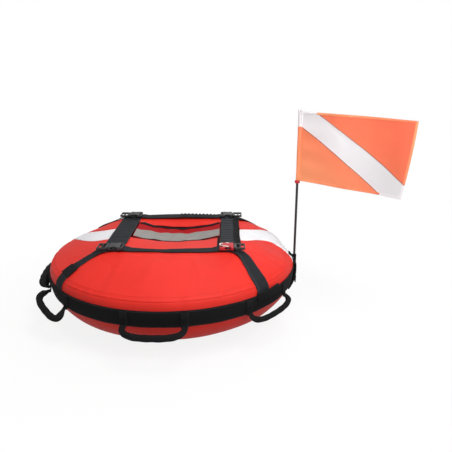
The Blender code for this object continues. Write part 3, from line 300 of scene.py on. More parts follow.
# Soft folds in the cloth, as a start and an end in plan, a half width and a height.
FOLDS = (
    (-0.150, -0.212, 0.120, -0.224, 0.009, 0.0011),
    (-0.205, -0.205, -0.120, -0.262, 0.008, 0.0010),
    (0.212, -0.205, 0.155, -0.275, 0.008, 0.0012),
    (0.235, -0.225, 0.215, -0.300, 0.007, 0.0010),
    (-0.255, -0.150, -0.330, -0.120, 0.009, 0.0009),
    (0.250, -0.120, 0.330, -0.150, 0.009, 0.0009),
    (-0.120, -0.205, -0.150, -0.330, 0.012, 0.0013),
    (0.080, -0.212, 0.110, -0.340, 0.012, 0.0012),
    (-0.030, -0.225, -0.060, -0.350, 0.013, 0.0011),
    (0.205, -0.270, 0.270, -0.235, 0.009, 0.0014),
    (-0.245, -0.230, -0.290, -0.175, 0.009, 0.0013),
    (0.300, -0.060, 0.345, -0.120, 0.010, 0.0013),
    (-0.140, 0.215, 0.130, 0.222, 0.010, 0.0010),
    (0.215, 0.200, 0.165, 0.270, 0.008, 0.0011),
    (-0.215, 0.200, -0.160, 0.275, 0.008, 0.0011),
)


def relief(points):
    """How far the cloth stands off its smooth form: puckers that die away from the side seam, a valley along
    each seam, a few soft folds by the straps, and slow swells in between.
    """
    x, y, z = np.moveaxis(points, -1, 0)
    distance = np.hypot(x, y)
    azimuth = np.arctan2(y, x)
    top = (distance < RIM_RADIUS) & (z > WIDEST_Z)
    from_seam = np.where(top, RIM_RADIUS - distance, 0.9 * (SEAM_Z - z))
    near = np.exp(-np.abs(from_seam) / 0.020)
    puckers = sum(
        size * np.sin(count * azimuth + phase)
        for count, size, phase in ((19, 0.30, 0.4), (33, 0.38, 2.1), (52, 0.30, 4.0), (77, 0.22, 1.2))
    )
    strength = 0.65 + 0.35 * np.sin(5 * azimuth + 1.0)
    height = 0.0023 * near * puckers * strength
    height = height - 0.0017 * bell(from_seam, 0.0055)
    on_top = top * np.clip((RIM_RADIUS - distance) / 0.02, 0.0, 1.0)
    for side in (-1, 1):
        slope = (stripe_edge(x + 0.001, side) - stripe_edge(x - 0.001, side)) / 0.002
        gap = (y - stripe_edge(x, side)) / np.hypot(1.0, slope)
        ripple = 0.6 + 0.4 * np.sin(np.abs(x) * 210.0 + side) * np.sin(np.abs(x) * 83.0)
        height = height - on_top * (0.0011 * bell(gap, 0.0035) + 0.0004 * ripple * np.exp(-np.abs(gap) / 0.016))
    for start_x, start_y, end_x, end_y, width, rise in FOLDS:
        along = np.array([end_x - start_x, end_y - start_y])
        length = np.hypot(*along)
        along = along / length
        forward = ((x - start_x) * along[0] + (y - start_y) * along[1]) / length
        aside = (x - start_x) * -along[1] + (y - start_y) * along[0]
        aside = aside + 0.012 * (forward - 0.5) ** 2
        fade = np.clip(np.sin(np.pi * np.clip(forward, 0.0, 1.0)), 0.0, 1.0)
        height = height + rise * fade * (bell(aside, width) - 0.6 * bell(aside + width, width))
    swell = np.sin(17.0 * x + 1.0) * np.sin(13.0 * y + 0.5) + 0.5 * np.sin(31.0 * x + 9.0 * y)
    return height + 0.0008 * swell * on_top


def slumped(points):
    """Let the slack shoulder by the pole sink inwards and down, and the one behind it stand a little fuller.

    The depth is a bell curve of the azimuth. It grows from nothing at the belt and at the strap frame.
    """
    x, y, z = np.moveaxis(points, -1, 0)
    azimuth = np.arctan2(y, x)
    depth = SLUMP * bell(azimuth - SLUMP_AT, SLUMP_SPREAD) - FULLER * bell(azimuth - FULLER_AT, SLUMP_SPREAD)
    above_belt = ramp(z, 0.164, 0.024)
    past_frame = ramp(np.hypot(x, y), 0.235, 0.11)
    depth = depth * above_belt * eased(past_frame)
    return points - polar(1.0, azimuth, 0.75) * depth[..., None]


def seat(points, lift=0.0):
    """Bring points onto the cover's outer surface, with its relief, and raise them off it by a lift."""
    x, y, z = np.moveaxis(points, -1, 0)
    distance = np.maximum(np.hypot(x, y), 1e-9)
    on_top = (distance < RIM_RADIUS) & (z > WIDEST_Z)
    out = np.maximum(distance - FLAT_RADIUS, 1e-6) / DEPTH
    up = z - WIDEST_Z
    rise = np.where(up > 0, UPPER_RISE, WIDEST_Z)
    reach = (out ** BULGE + (np.abs(up) / rise) ** BULGE) ** (-1 / BULGE)
    scale = np.where(on_top, 1.0, (FLAT_RADIUS + out * reach * DEPTH) / distance)
    height = np.where(on_top, crown(x, y), WIDEST_Z + up * reach)
    seated = joined(x * scale, y * scale, height)
    rise = relief(seated) + lift
    return slumped(seated + cover_normal(seated) * rise[..., None])


def arc_lengths(points, axis):
    """Distance along a grid of points in one direction, in metres from its first row or column."""
    steps = np.linalg.norm(np.diff(points, axis=axis), axis=-1)
    start = np.zeros_like(np.take(steps, [0], axis=axis))
    return np.concatenate([start, np.cumsum(steps, axis=axis)], axis=axis)


def grid_uv(points):
    """UV in metres: U from row to row, along a strip, and V across it, each measured on the middle line."""
    rows, columns, _ = points.shape
    u = arc_lengths(points[:, [columns // 2]], 0)[:, 0]
    v = arc_lengths(points[[rows // 2]], 1)[0]
    return joined(u[:, None], v[None, :])


def piece(name, grids, finish, body, replaces=(), closed=False, thickness=0.0, middle=(0, 0, 0.10)):
    """Make one piece of grids of points, each with its UV, weld it, finish it, and tie it to its body.

    A closed piece has its faces turned outwards. An open one looks away from its middle point, and its
    thickness grows inwards from the points given.
    """
    points, uvs, faces = [], [], []
    total = 0
    for grid in grids:
        place, uv = grid if isinstance(grid, tuple) else (grid, grid_uv(grid))
        rows, columns, _ = place.shape
        index = np.arange(rows * columns).reshape(rows, columns) + total
        corners = [index[:-1, :-1], index[:-1, 1:], index[1:, 1:], index[1:, :-1]]
        faces.append(np.stack(corners, -1).reshape(-1, 4))
        points.append(place.reshape(-1, 3))
        uvs.append(uv.reshape(-1, 2))
        total += rows * columns
    points, uvs, faces = np.concatenate(points), np.concatenate(uvs), np.concatenate(faces)
    if not closed:
        corner = points[faces]
        normal = np.cross(corner[:, 2] - corner[:, 0], corner[:, 3] - corner[:, 1])
        if np.sum(normal * (corner.mean(axis=1) - np.array(middle))) < 0:
            faces = faces[:, ::-1]
    mesh = bpy.data.meshes.new(name)
    mesh.from_pydata(points.tolist(), [], faces.tolist())
    layer = mesh.uv_layers.new(name="UVMap")
    layer.data.foreach_set("uv", uvs[faces.reshape(-1)].astype(np.float32).reshape(-1))
    bm = bmesh.new()
    bm.from_mesh(mesh)
    bmesh.ops.remove_doubles(bm, verts=bm.verts, dist=2e-6)
    if closed:
        bmesh.ops.recalc_face_normals(bm, faces=bm.faces)
    bm.to_mesh(mesh)
    bm.free()
    mesh.materials.append(finish.material)
    mesh.shade_smooth()
    mesh.set_sharp_from_angle(angle=math.radians(SHARP_ANGLE))
    made = bpy.data.objects.new(name, mesh)
    bpy.context.scene.collection.objects.link(made)
    if thickness:
        wall = made.modifiers.new("wall", "SOLIDIFY")
        wall.thickness = thickness
        wall.offset = -1.0
    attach(made, body)
    if replaces:
        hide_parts(*replaces)
    return made


def seam_end(share_across, side):
    """X where a line of the stripe, at a share of its width, meets the side seam; found by halving."""
    low = np.full_like(share_across, 0.30)
    high = np.full_like(share_across, 0.395)
    for _ in range(30):
        middle = (low + high) / 2
        x = side * middle
        y = stripe_edge(x, -1) * (1 - share_across) + stripe_edge(x, 1) * share_across
        outside = np.hypot(x, y) > RIM_RADIUS
        high = np.where(outside, middle, high)
        low = np.where(outside, low, middle)
    return side * (low + high) / 2


def lapped(plan):
    """Seat a plan grid whose last row lies on the side seam, and fold its edge down over the side band."""
    rows = [seat(on_crown(plan[..., 0], plan[..., 1]))]
    direction = unit(plan[-1])
    for share in (0.15, 0.5, 0.85, 1.0):
        z = SEAM_Z - SEAM_LAP * share
        edge = joined(direction[:, 0] * section_radius(z), direction[:, 1] * section_radius(z), z)
        rows.append(seat(edge, 0.0009 if share < 1 else 0.0002)[None])
    return np.concatenate(rows)


def panel_grid(side, azimuths, rows=46):
    """A red panel: straight rules from the stripe's edges and the opening out to the side seam.

    azimuths are where, on the seam, the rules from the opening's four key points end.
    """
    left, right = FRAME_X - OPENING_X, FRAME_X + OPENING_X
    half = np.array([0.0 if side < 0 else 1.0])
    left_end, right_end = seam_end(half, -1)[0], seam_end(half, 1)[0]
    xs = np.linspace(left_end, left, 70)
    legs = [joined(xs, stripe_edge(xs, side))]
    legs.append(joined(left, np.linspace(stripe_edge(left, side), side * OPENING_Y, 30)))
    legs.append(joined(np.linspace(left, right, 120), side * OPENING_Y))
    legs.append(joined(right, np.linspace(side * OPENING_Y, stripe_edge(right, side), 30)))
    xs = np.linspace(right, right_end, 70)
    legs.append(joined(xs, stripe_edge(xs, side)))
    inner = np.concatenate([legs[0]] + [leg[1:] for leg in legs[1:]])
    counts = np.cumsum([0] + [len(legs[0])] + [len(leg) - 1 for leg in legs[1:]])
    keys = [0] + [count - 1 for count in counts[1:]]
    ends = [math.degrees(math.atan2(stripe_edge(x, side), x)) % 360 for x in (left_end, right_end)]
    if side < 0:
        ends[1] += 360.0 if ends[1] < 90 else 0.0
    azimuth = np.radians(np.interp(np.arange(len(inner)), keys, [ends[0], *azimuths, ends[1]]))
    outer = RIM_RADIUS * joined(np.cos(azimuth), np.sin(azimuth))
    share = 1 - (1 - np.linspace(0.0, 1.0, rows)) ** 1.25
    plan = inner[None] * (1 - share)[:, None, None] + outer[None] * share[:, None, None]
    return lapped(plan)


red_cloth = cloth_finish("red_cloth", RED)
for name, side, azimuths in (
    ("cover_front", -1, (201.0, 227.0, 317.0, 346.0)),
    ("cover_back", 1, (144.0, 133.0, 50.0, 36.0)),
):
    panel = panel_grid(side, azimuths)
    piece(name + "_cloth", [panel], red_cloth, "buoy", [name], thickness=CLOTH)


# Cover: white stripe
# The same cloth in white, as two pieces that run from the lid's opening over the flanks to the side seam. They
# are sewn in between the red panels. On the right the stripe goes on below the seam, in the side band.

white_cloth = cloth_finish("white_cloth", WHITE, 0.55)
for name, side in (("stripe_left", -1), ("stripe_right", 1)):
    across = np.linspace(0.0, 1.0, 34)
    start = FRAME_X + side * OPENING_X
    x = start + np.linspace(0.0, 1.0, 90)[:, None] * (seam_end(across, side) - start)[None, :]
    y = stripe_edge(x, -1) * (1 - across) + stripe_edge(x, 1) * across
    piece(name + "_cloth", [lapped(joined(x, y))], white_cloth, "buoy", [name], thickness=CLOTH)


# Cover: side band
# A band of the red cloth between the side seam and the belt, with the seam's puckers running down into it.
# Below the stripe's right end the white cloth is let into it, as an inset that gets wider towards the belt.

INSET_LOW = 0.160
INSET_BACK = 30.5  # azimuths of the inset's two ends in degrees, and how far the front one moves going down
INSET_FRONT = 3.8
INSET_WIDENING = 11.0


def turned_grid(z, count):
    """Rings of points on the body's smooth form, one for each height, around the Z axis."""
    return polar(section_radius(z)[:, None], np.linspace(0.0, math.tau, count + 1)[None, :], z[:, None])


band_grid = seat(turned_grid(np.linspace(SEAM_Z - 0.0005, 0.110, 44), 420))
piece("side_band_cloth", [band_grid], red_cloth, "buoy", ["side_band"], thickness=CLOTH)

z = np.linspace(SEAM_Z - 0.0035, INSET_LOW, 20)[:, None]
front_end = INSET_FRONT - INSET_WIDENING * np.linspace(0.0, 1.0, 20)[:, None]
azimuth = np.radians(INSET_BACK + (front_end - INSET_BACK) * np.linspace(1.0, 0.0, 60)[None, :])
inset = seat(polar(section_radius(z), azimuth, z), 0.0003)
piece("side_band_inset_cloth", [inset], white_cloth, "buoy", thickness=0.0008)


# Underside
# The red cloth under the belt, gathered a little where it is sewn to the round bottom panel, and the panel
# itself: coated black cloth on a stiff sheet, with four drain eyelets pressed in.

PANEL_RADIUS = 0.1505
DRAIN_CIRCLE = 0.085
DRAIN_RADIUS = 0.006

z = WIDEST_Z - WIDEST_Z * np.sin(np.linspace(0.20, math.pi / 2, 60)) ** (2 / BULGE)
z[-1] = 0.0
bottom = turned_grid(z, 420)
azimuth = np.arctan2(bottom[..., 1], bottom[..., 0])
share = np.clip((0.030 - bottom[..., 2]) / 0.030, 0.0, 1.0)
gather = 0.5 * np.sin(46 * azimuth) + 0.5 * np.sin(71 * azimuth + 1.3)
slack = 0.0012 * np.sin(9 * azimuth + 40 * bottom[..., 2]) * np.sin(math.pi * bottom[..., 2] / 0.11) ** 2
out = unit(bottom * np.array([1.0, 1.0, 0.0]))
bottom = bottom + out * (slack + 0.0014 * gather * share * (1 - share) * 4)[..., None]
piece("cover_bottom_cloth", [bottom], red_cloth, "buoy", ["cover_bottom"], thickness=CLOTH)


def tyre_grid(centre, ring, wire, flat, count=40):
    """A ring of flattened round section, lying level: a circle of circles, lower by the flat share."""
    azimuth = np.linspace(0.0, math.tau, count + 1)[None, :]
    turn = np.linspace(0.0, math.tau, 13)[:, None]
    return polar(ring + wire * np.cos(turn), azimuth, flat * wire * np.sin(turn)) + centre


panel_finish = Finish("bottom_panel", 0.7, Specular_IOR_Level=0.2)
tone = panel_finish.vary(panel_finish.noise(40.0, 4.0), (0.010, 0.010, 0.011), (0.030, 0.030, 0.032), 0.6, 0.2)
u, v, _ = panel_finish.axes("Object")
panel_finish.bump((u * 2400.0).sine() * (v * 2400.0).sine() * 0.5 + tone * 0.5, 0.0002)
drains = [DRAIN_CIRCLE * np.array([math.cos(t), math.sin(t)]) for t in np.radians([45.0, 135.0, 225.0, 315.0])]


def drained_panel():
    """The panel in four sectors. In each, rules run from the round drain hole out to the sector's edge."""
    grids = []
    height = 0.0004
    quarter = math.pi / 4
    side = np.linspace(0.0, PANEL_RADIUS, 19)
    for x, y in drains:
        middle = math.atan2(y, x)
        edge = np.concatenate([
            polar(side, middle - quarter, height),
            polar(PANEL_RADIUS, middle + np.linspace(-quarter, quarter, 25), height)[1:],
            polar(side[::-1], middle + quarter, height)[1:],
        ])
        turned = np.unwrap(np.arctan2(edge[:, 1] - y, edge[:, 0] - x))
        rim = polar(DRAIN_RADIUS, turned, height) + [x, y, 0.0]
        share = (np.linspace(0.0, 1.0, 12) ** 1.6)[:, None, None]
        grids.append(rim * (1 - share) + edge * share)
    return grids


piece("bottom_sheet", drained_panel(), panel_finish, "buoy", ["bottom_panel"], thickness=0.0014)
eyelet_metal = Finish("eyelet_metal", 0.4, 1.0)
eyelet_metal.vary(eyelet_metal.noise(300.0, 3.0), (0.10, 0.10, 0.11), (0.24, 0.24, 0.25), 0.30, 0.25)
eyelets = [tyre_grid((x, y, 0.0011), DRAIN_RADIUS + 0.0012, 0.0019, 0.55) for x, y in drains]
piece("bottom_eyelets", eyelets, eyelet_metal, "buoy", closed=True)
hem = tyre_grid((0.0, 0.0, 0.0024), PANEL_RADIUS - 0.0015, 0.0024, 0.9, 160)
piece("bottom_hem", [hem], panel_finish, "buoy", closed=True)


# Belt
# One length of 50 mm webbing sewn round the widest part, over the seam between the side band and the
# underside. The webbing ends of the handles are folded under and box-stitched onto it.

BELT_Z = 0.137
BELT_WIDTH = 0.050
BELT_TOP = BELT_Z + BELT_WIDTH / 2
BELT_LIFT = 0.0005
BELT_THICKNESS = 0.0025
HANDLES = (
    ("front", 267.6, 11.8, 10.0),
    ("front_left", 214.5, 10.5, 22.0),
    ("left", 188.0, 11.0, -55.0),
    ("back_left", 142.5, 12.0, 10.0),
    ("back", 93.0, 11.8, 10.0),
    ("back_right", 41.5, 12.0, 10.0),
    ("front_right", 318.9, 12.0, 32.0),
)


def webbing_finish(name, colour, light, width=0.050, roughness=0.8):
    """Woven webbing: chevron rows across its width, a lighter line along each edge, and lighter ridge tops."""
    finish = Finish(name, roughness, Specular_IOR_Level=0.12)
    along, across, _ = finish.axes("UV")
    zigzag = finish.node("ShaderNodeMath", {"operation": "PINGPONG"}, {0: across, 1: 0.0025})
    ridge = ((along + zigzag) * (math.tau / 0.0024)).sine() * 0.5 + 0.5
    row = ((across * (math.tau / 0.0050)).sine() * 0.5 + 0.5) ** 0.5
    edge = abs(across - width / 2).step(width / 2 - 0.0042, width / 2 - 0.0024)
    tone = finish.noise(30.0, 3.0)
    share = ridge * 0.35 + tone * 0.45 + edge * 0.35
    finish.vary(share, colour, light)
    finish.feed("Roughness", roughness - 0.1 + tone * 0.2)
    finish.bump(ridge * 0.6 + row * 0.4, 0.00035)
    return finish


def ribbed_finish(name, colour, light, pitch):
    """Webbing gathered on elastic: a painted highlight on each rib's top and painted shade in the valleys between.
    """
    finish = Finish(name, 0.7, Specular_IOR_Level=0.15)
    place = finish.axes("Object")[1]
    # Painted highlight and shade: each rib's top takes the light colour, and each valley the dark one.
    top = abs((place * (math.pi / pitch)).sine()) ** 0.8
    tone = finish.noise(60.0, 3.0)
    finish.vary(top * 0.75 + tone * 0.25, colour, light)
    finish.feed("Roughness", 0.6 + tone * 0.2)
    finish.bump(finish.noise(900.0) * 0.5 + tone * 0.5, 0.0003)
    return finish


def section_loop(flat=9):
    """Outline of flat webbing with half-round edges: share of the flat half width, and round parts."""
    edge = np.radians(np.linspace(90.0, 270.0, 6)[1:-1])
    flats = np.linspace(1.0, -1.0, flat)
    core = np.concatenate([flats, -np.ones(4), -flats, np.ones(4), [1.0]])
    edge_a = np.concatenate([0 * flats, np.cos(edge), 0 * flats, -np.cos(edge), [0.0]])
    edge_b = np.concatenate([0 * flats + 1, np.sin(edge), 0 * flats - 1, -np.sin(edge), [1.0]])
    return core, edge_a, edge_b


def closed_ends(grid):
    """Close both ends of a tube of points by drawing an extra row in to its middle."""
    first = np.broadcast_to(grid[:1, :-1].mean(axis=1, keepdims=True), grid[:1].shape)
    last = np.broadcast_to(grid[-1:, :-1].mean(axis=1, keepdims=True), grid[-1:].shape)
    return np.concatenate([first, grid, last])


def strip_grid(path, width, lift, thickness, flat=9, tilt=0.0):
    """Webbing laid along a path of points on the cover. Width, lift and thickness may vary along it.

    A tilt raises one edge and lowers the other by that many metres.
    """
    core, edge_a, edge_b = section_loop(flat)
    tangent = unit(np.gradient(path, axis=0))
    across = unit(np.cross(cover_normal(path), tangent))
    width, lift, thickness, tilt = (
        np.broadcast_to(np.asarray(value, float), len(path))[:, None] for value in (width, lift, thickness, tilt)
    )
    round_part = thickness / 2
    aside = core * (width / 2 - round_part) + edge_a * round_part
    above = lift + round_part * (1 + edge_b) + tilt * aside / (width / 2)
    grid = seat(path[:, None] + across[:, None] * aside[..., None], above)
    return closed_ends(grid)


def side_path(azimuth, low, high, count):
    """Points straight down the side of the body at one azimuth, in degrees."""
    z = np.linspace(high, low, count)
    return polar(section_radius(z), math.radians(azimuth), z)


core, edge_a, edge_b = section_loop(11)
profile_z = BELT_Z + core * (BELT_WIDTH / 2 - BELT_THICKNESS / 2) + edge_a * BELT_THICKNESS / 2
profile_lift = BELT_LIFT + BELT_THICKNESS / 2 * (1 + edge_b)
azimuth = np.linspace(0.0, math.tau, 361)
profile_lift = profile_lift[:, None] + 0.0004 * np.sin(23 * azimuth) * core[:, None]
belt_grid = seat(turned_grid(profile_z, 360), profile_lift)
belt_uv = joined(BODY_RADIUS * azimuth[None, :], arc_lengths(belt_grid[:, [0]], 0)[:, :1])
belt_webbing = webbing_finish("belt_webbing", (0.0045, 0.0042, 0.0046), (0.017, 0.016, 0.018))
piece("belt_webbing", [(belt_grid, belt_uv)], belt_webbing, "buoy", ["belt"], closed=True)

share = np.linspace(0.0, 1.0, 24)
narrow = 0.0250 - 0.0050 * ramp(share, 0.60, 0.40)
lift = BELT_LIFT + BELT_THICKNESS - 0.0004 + 0.0068 * ramp(share, 0.52, 0.48) ** 2
tab_azimuths = [at + side * half for _, at, half, _ in HANDLES for side in (-1, 1)]
tab_grids = []
for azimuth in tab_azimuths:
    path = side_path(azimuth, 0.1165, BELT_TOP - 0.001, 24)
    tab_grids.append(strip_grid(path, narrow, lift, 0.0021 + 0.0005 * np.sin(math.pi * share)))
piece("belt_tabs", tab_grids, belt_webbing, "buoy", closed=True)


def sampled(path, at, goal):
    """Values of a path, given at some lengths along it, at other lengths."""
    return np.stack([np.interp(goal, at, column) for column in path.T], -1)


def stitch_grids(path, outward, length=0.0036, gap=0.0022, size=0.00045):
    """A row of thread stitches along a path: small rounded beads, longer than they are wide."""
    at = arc_lengths(path, 0)
    centres = np.arange(length / 2, at[-1] - length / 2, length + gap)
    middle = sampled(path, at, centres)
    out = unit(sampled(outward, at, centres))
    along = unit(sampled(path, at, centres + 0.001) - middle)
    aside = unit(np.cross(out, along))
    grids = []
    turn = np.linspace(0.0, math.tau, 6)
    for place, forward, sideways, up in zip(middle, along, aside, out):
        rows = []
        for share, swell in ((-0.5, 0.0), (-0.35, 0.8), (0.35, 0.8), (0.5, 0.0)):
            ring = place + forward * length * share
            rows.append(ring + size * swell * (np.cos(turn)[:, None] * sideways + np.sin(turn)[:, None] * up))
        grids.append(np.stack(rows))
    return grids


def stitched_box(path, width, lift, inset=0.004):
    """Stitching round a sewn overlap, with a cross inside it, on webbing laid along a path."""
    inner = path[2:-2]
    across = unit(np.cross(cover_normal(inner), unit(np.gradient(inner, axis=0))))
    half = width / 2 - inset
    share = np.linspace(-1, 1, len(inner))[:, None]
    lines = [inner + across * half * way for way in (1, -1, share, -share)]
    for end in (0, -1):
        lines.append(inner[end] + across[end] * half * np.linspace(-1, 1, 12)[:, None])
    grids = []
    for line in lines:
        seated = seat(line, lift)
        grids += stitch_grids(seated, cover_normal(line))
    return grids


thread = Finish("thread", 0.6, Specular_IOR_Level=0.2)
thread.vary(thread.noise(900.0), (0.030, 0.030, 0.032), (0.085, 0.085, 0.090))
thread_grids = []
for azimuth in tab_azimuths:
    path = side_path(azimuth, 0.1400, BELT_TOP - 0.002, 16)
    thread_grids += stitched_box(path, 0.025, BELT_LIFT + BELT_THICKNESS + 0.0020)
piece("belt_stitching", thread_grids, thread, "buoy", closed=True)


# Seam stitching
# Rows of red thread hold down the folded edges: along the side seam, beside the white stripe and round the
# opening. Two rows of black thread hold the belt.

red_thread = Finish("red_thread", 0.6, Specular_IOR_Level=0.15)
red_thread.vary(red_thread.noise(900.0), (0.34, 0.010, 0.008), (0.62, 0.020, 0.016))


FROM_SEAM = 0.0085
FROM_STRIPE = 0.0055
FROM_OPENING = 0.005
FROM_BELT_EDGE = 0.0035


def stitch_row(line, lift=0.0002):
    """A row of stitches on the cover, over a path in space."""
    return stitch_grids(seat(line, lift), cover_normal(line))


around = np.linspace(0.0, math.tau, 900)
rows = [(RIM_RADIUS - FROM_SEAM) * joined(np.cos(around), np.sin(around))]
for side in (-1, 1):
    for end in (-1, 1):
        last = seam_end(np.array([(side + 1) / 2]), end)[0] * 0.97
        x = np.linspace(FRAME_X + end * (OPENING_X + 0.004), last, 200)
        rows.append(joined(x, stripe_edge(x, side) + side * FROM_STRIPE))
corners = np.array([(-1, -1), (1, -1), (1, 1), (-1, 1), (-1, -1)])
corners = corners * [OPENING_X + FROM_OPENING, OPENING_Y + FROM_OPENING]
corners = corners + [FRAME_X, 0.0]
rows.append(np.concatenate([np.linspace(start, end, 90)[:-1] for start, end in zip(corners[:-1], corners[1:])]))
seam_threads = [grid for row in rows for grid in stitch_row(on_crown(row[:, 0], row[:, 1]))]
piece("cover_stitching", seam_threads, red_thread, "buoy", closed=True)
belt_threads = []
for offset in (-1, 1):
    height = BELT_Z + offset * (BELT_WIDTH / 2 - FROM_BELT_EDGE)
    line = polar(section_radius(np.array(height)), around, height)
    belt_threads += stitch_row(line, BELT_LIFT + BELT_THICKNESS + 0.0001)
piece("belt_edge_stitching", belt_threads, thread, "buoy", closed=True)


# Strap frame: two wide bands
# Wide webbing along each side of the lid's opening. The left one lies plain. The right one is gathered on
# elastic into cross ribs, and a folded strap tail lies along its outer edge.

FRAME_HALF = 0.177
BAND_WIDTH = 0.064
BAND_THICKNESS = 0.0025
BAND_LIFT = 0.0008
RIB_COUNT = 18
TAIL_WIDTH = 0.020

strap_webbing = webbing_finish("strap_webbing", (0.0075, 0.0085, 0.0100), (0.034, 0.038, 0.044), 0.038, 0.7)
band_webbing = webbing_finish("band_webbing", (0.0085, 0.0100, 0.0115), (0.040, 0.045, 0.051), BAND_WIDTH, 0.7)
reach = LEVEL_HALF - 0.006
y = np.linspace(-reach, reach, 150)
bow = 1 - (y / reach) ** 2
path = on_crown(FRAME_X - FRAME_HALF - 0.0012 * bow, y)
thickness = BAND_THICKNESS + 0.0005 * np.sin(y * 90.0) ** 2
left_band = strip_grid(path, BAND_WIDTH + 0.001 * bow, BAND_LIFT, thickness, 15)
piece("band_left_webbing", [left_band], band_webbing, "buoy", ["band_left"], closed=True)

y = np.linspace(-reach, reach, 18 * RIB_COUNT + 1)
path = on_crown(np.full_like(y, FRAME_X + FRAME_HALF), y)
rib = np.abs(np.sin(math.pi * RIB_COUNT * (y / reach + 1) / 2)) ** 0.55
ribbed = strip_grid(path, BAND_WIDTH - 0.0024 * (1 - rib), BAND_LIFT, 0.0012 + 0.0034 * rib, 11)
rib_pitch = 2 * reach / RIB_COUNT
# The second colour is the painted highlight on the rib tops.
ribbed_webbing = ribbed_finish("ribbed_webbing", (0.003, 0.003, 0.0035), (0.042, 0.048, 0.054), rib_pitch)
piece("band_right_webbing", [ribbed], ribbed_webbing, "buoy", ["band_right"], closed=True)

reach = FRAME_HALF - 0.022
y = np.linspace(-reach, reach, 80)
path = on_crown(FRAME_X + FRAME_HALF + BAND_WIDTH / 2 - 0.011 + 0.0012 * np.sin(y * 40.0), y)
tail = strip_grid(path, TAIL_WIDTH, BAND_LIFT + 0.0046 + 0.0006 * np.sin(y * 55.0) ** 2, 0.0020)
piece("strap_tail_webbing", [tail], belt_webbing, "buoy", ["strap_tail"], closed=True)


# Strap frame: cross straps and strap ends
# 38 mm webbing. A strap crosses the front and the back of the opening from buckle to buckle, and from each
# buckle an end runs over the flank and under the belt. The back strap's right half is gathered into ribs.

STRAP_WIDTH = 0.038
STRAP_THICKNESS = 0.0020
STRAP_LIFT = 0.0009
STRAP_FOOT_ANGLE = {"left": 39.0, "right": 45.0}


def strap_lift(x):
    """Straps lie on the cover and climb over the two wide bands."""
    from_band = np.abs(np.abs(x - FRAME_X) - FRAME_HALF) - BAND_WIDTH / 2
    over_band = BAND_LIFT + BAND_THICKNESS + 0.0012
    return STRAP_LIFT + (over_band - STRAP_LIFT) * (1 - eased(ramp(from_band, 0.004, 0.024)))


for name, front in (("strap_front", -1), ("strap_back", 1)):
    x = np.linspace(-0.176, 0.176, 190) + FRAME_X
    y = np.full_like(x, front * FRAME_HALF)
    slack = np.clip(1 - ((x - FRAME_X) / 0.150) ** 2, 0.0, 1.0)
    thickness = STRAP_THICKNESS
    lift = strap_lift(x)
    if front < 0:
        y = y - 0.0095 * slack - 0.0012 * slack * np.sin(x * 57.0)
        width = STRAP_WIDTH - 0.0135 * slack * (1 - 0.8 * ramp(x, 0.045, 0.060))
        tilt = 0.0010 * slack * np.sin(x * 31.0 + 0.4)
        lift = lift + np.abs(tilt) + 0.0010 * slack * (0.6 + 0.4 * np.sin(x * 48.0))
    else:
        gathered = np.clip((x - 0.005) / 0.01, 0, 1) * np.clip((0.140 - x) / 0.01, 0, 1)
        ribs = np.abs(np.sin(math.pi * (x - 0.005) / 0.0135)) ** 0.8
        width = STRAP_WIDTH - 0.003 * gathered * (1 - ribs)
        tilt = 0.0012 * slack
        lift = lift + 0.0034 * slack ** 0.6 + 0.0016 * gathered * ribs
        thickness = thickness + 0.0012 + 0.0022 * gathered * ribs
    grid = strip_grid(on_crown(x, y), width, lift, thickness, 11, tilt)
    piece(name + "_webbing", [grid], strap_webbing, "buoy", [name], closed=True)


def even(path, count):
    """Resample a path at equal steps along its length."""
    at = arc_lengths(path, 0)
    return sampled(path, at, np.linspace(0.0, at[-1], count))


def strap_end_path(side_name, front):
    """A Bezier curve in plan from a frame corner, along the strap's own line, then down to the belt."""
    side = -1 if side_name == "left" else 1
    azimuth = math.radians(STRAP_FOOT_ANGLE[side_name])
    radius = section_radius(np.array(BELT_TOP + 0.001))
    corner = np.array([FRAME_X + side * (FRAME_HALF + 0.001), front * FRAME_HALF])
    foot = radius * np.array([side * math.cos(azimuth), front * math.sin(azimuth)])
    controls = (corner, corner + [side * 0.050, 0.0], foot * (1 - 0.060 / radius), foot)
    t = np.linspace(0.0, 1.0, 400)[:, None]
    weights = ((1 - t) ** 3, 3 * t * (1 - t) ** 2, 3 * t * t * (1 - t), t ** 3)
    plan = sum(weight * control for weight, control in zip(weights, controls))
    z = np.linspace(BELT_TOP + 0.001, BELT_TOP - 0.010, 12)[1:]
    tucked = polar(section_radius(z), math.atan2(foot[1], foot[0]), z)
    return even(np.concatenate([on_crown(plan[:, 0], plan[:, 1]), tucked]), 120)


strap_threads = []
for front_name, front in (("front", -1), ("back", 1)):
    for side_name in ("left", "right"):
        path = strap_end_path(side_name, front)
        tuck = np.clip((BELT_TOP + 0.006 - path[:, 2]) / 0.012, 0.0, 1.0)
        lift = strap_lift(path[:, 0]) * (1 - tuck) - 0.0012 * tuck
        node = "strap_end_" + front_name + "_" + side_name
        wider = 0.011 if side_name == "right" else 0.0
        width = STRAP_WIDTH + wider * ramp(np.linspace(0.0, 1.0, len(path)), 0.15, 0.6)
        grid = strip_grid(path, width, lift, STRAP_THICKNESS)
        piece(node + "_webbing", [grid], strap_webbing, "buoy", [node], closed=True)
        if side_name == "left":
            patch = path[67:89]
            grid = strip_grid(patch, 0.050, STRAP_LIFT + 0.0022, 0.0018, 11)
            patch_node = "strap_patch_" + front_name
            piece(patch_node + "_webbing", [grid], belt_webbing, "buoy", [patch_node],
                  closed=True)
            strap_threads += stitched_box(patch, 0.048, STRAP_LIFT + 0.0041)
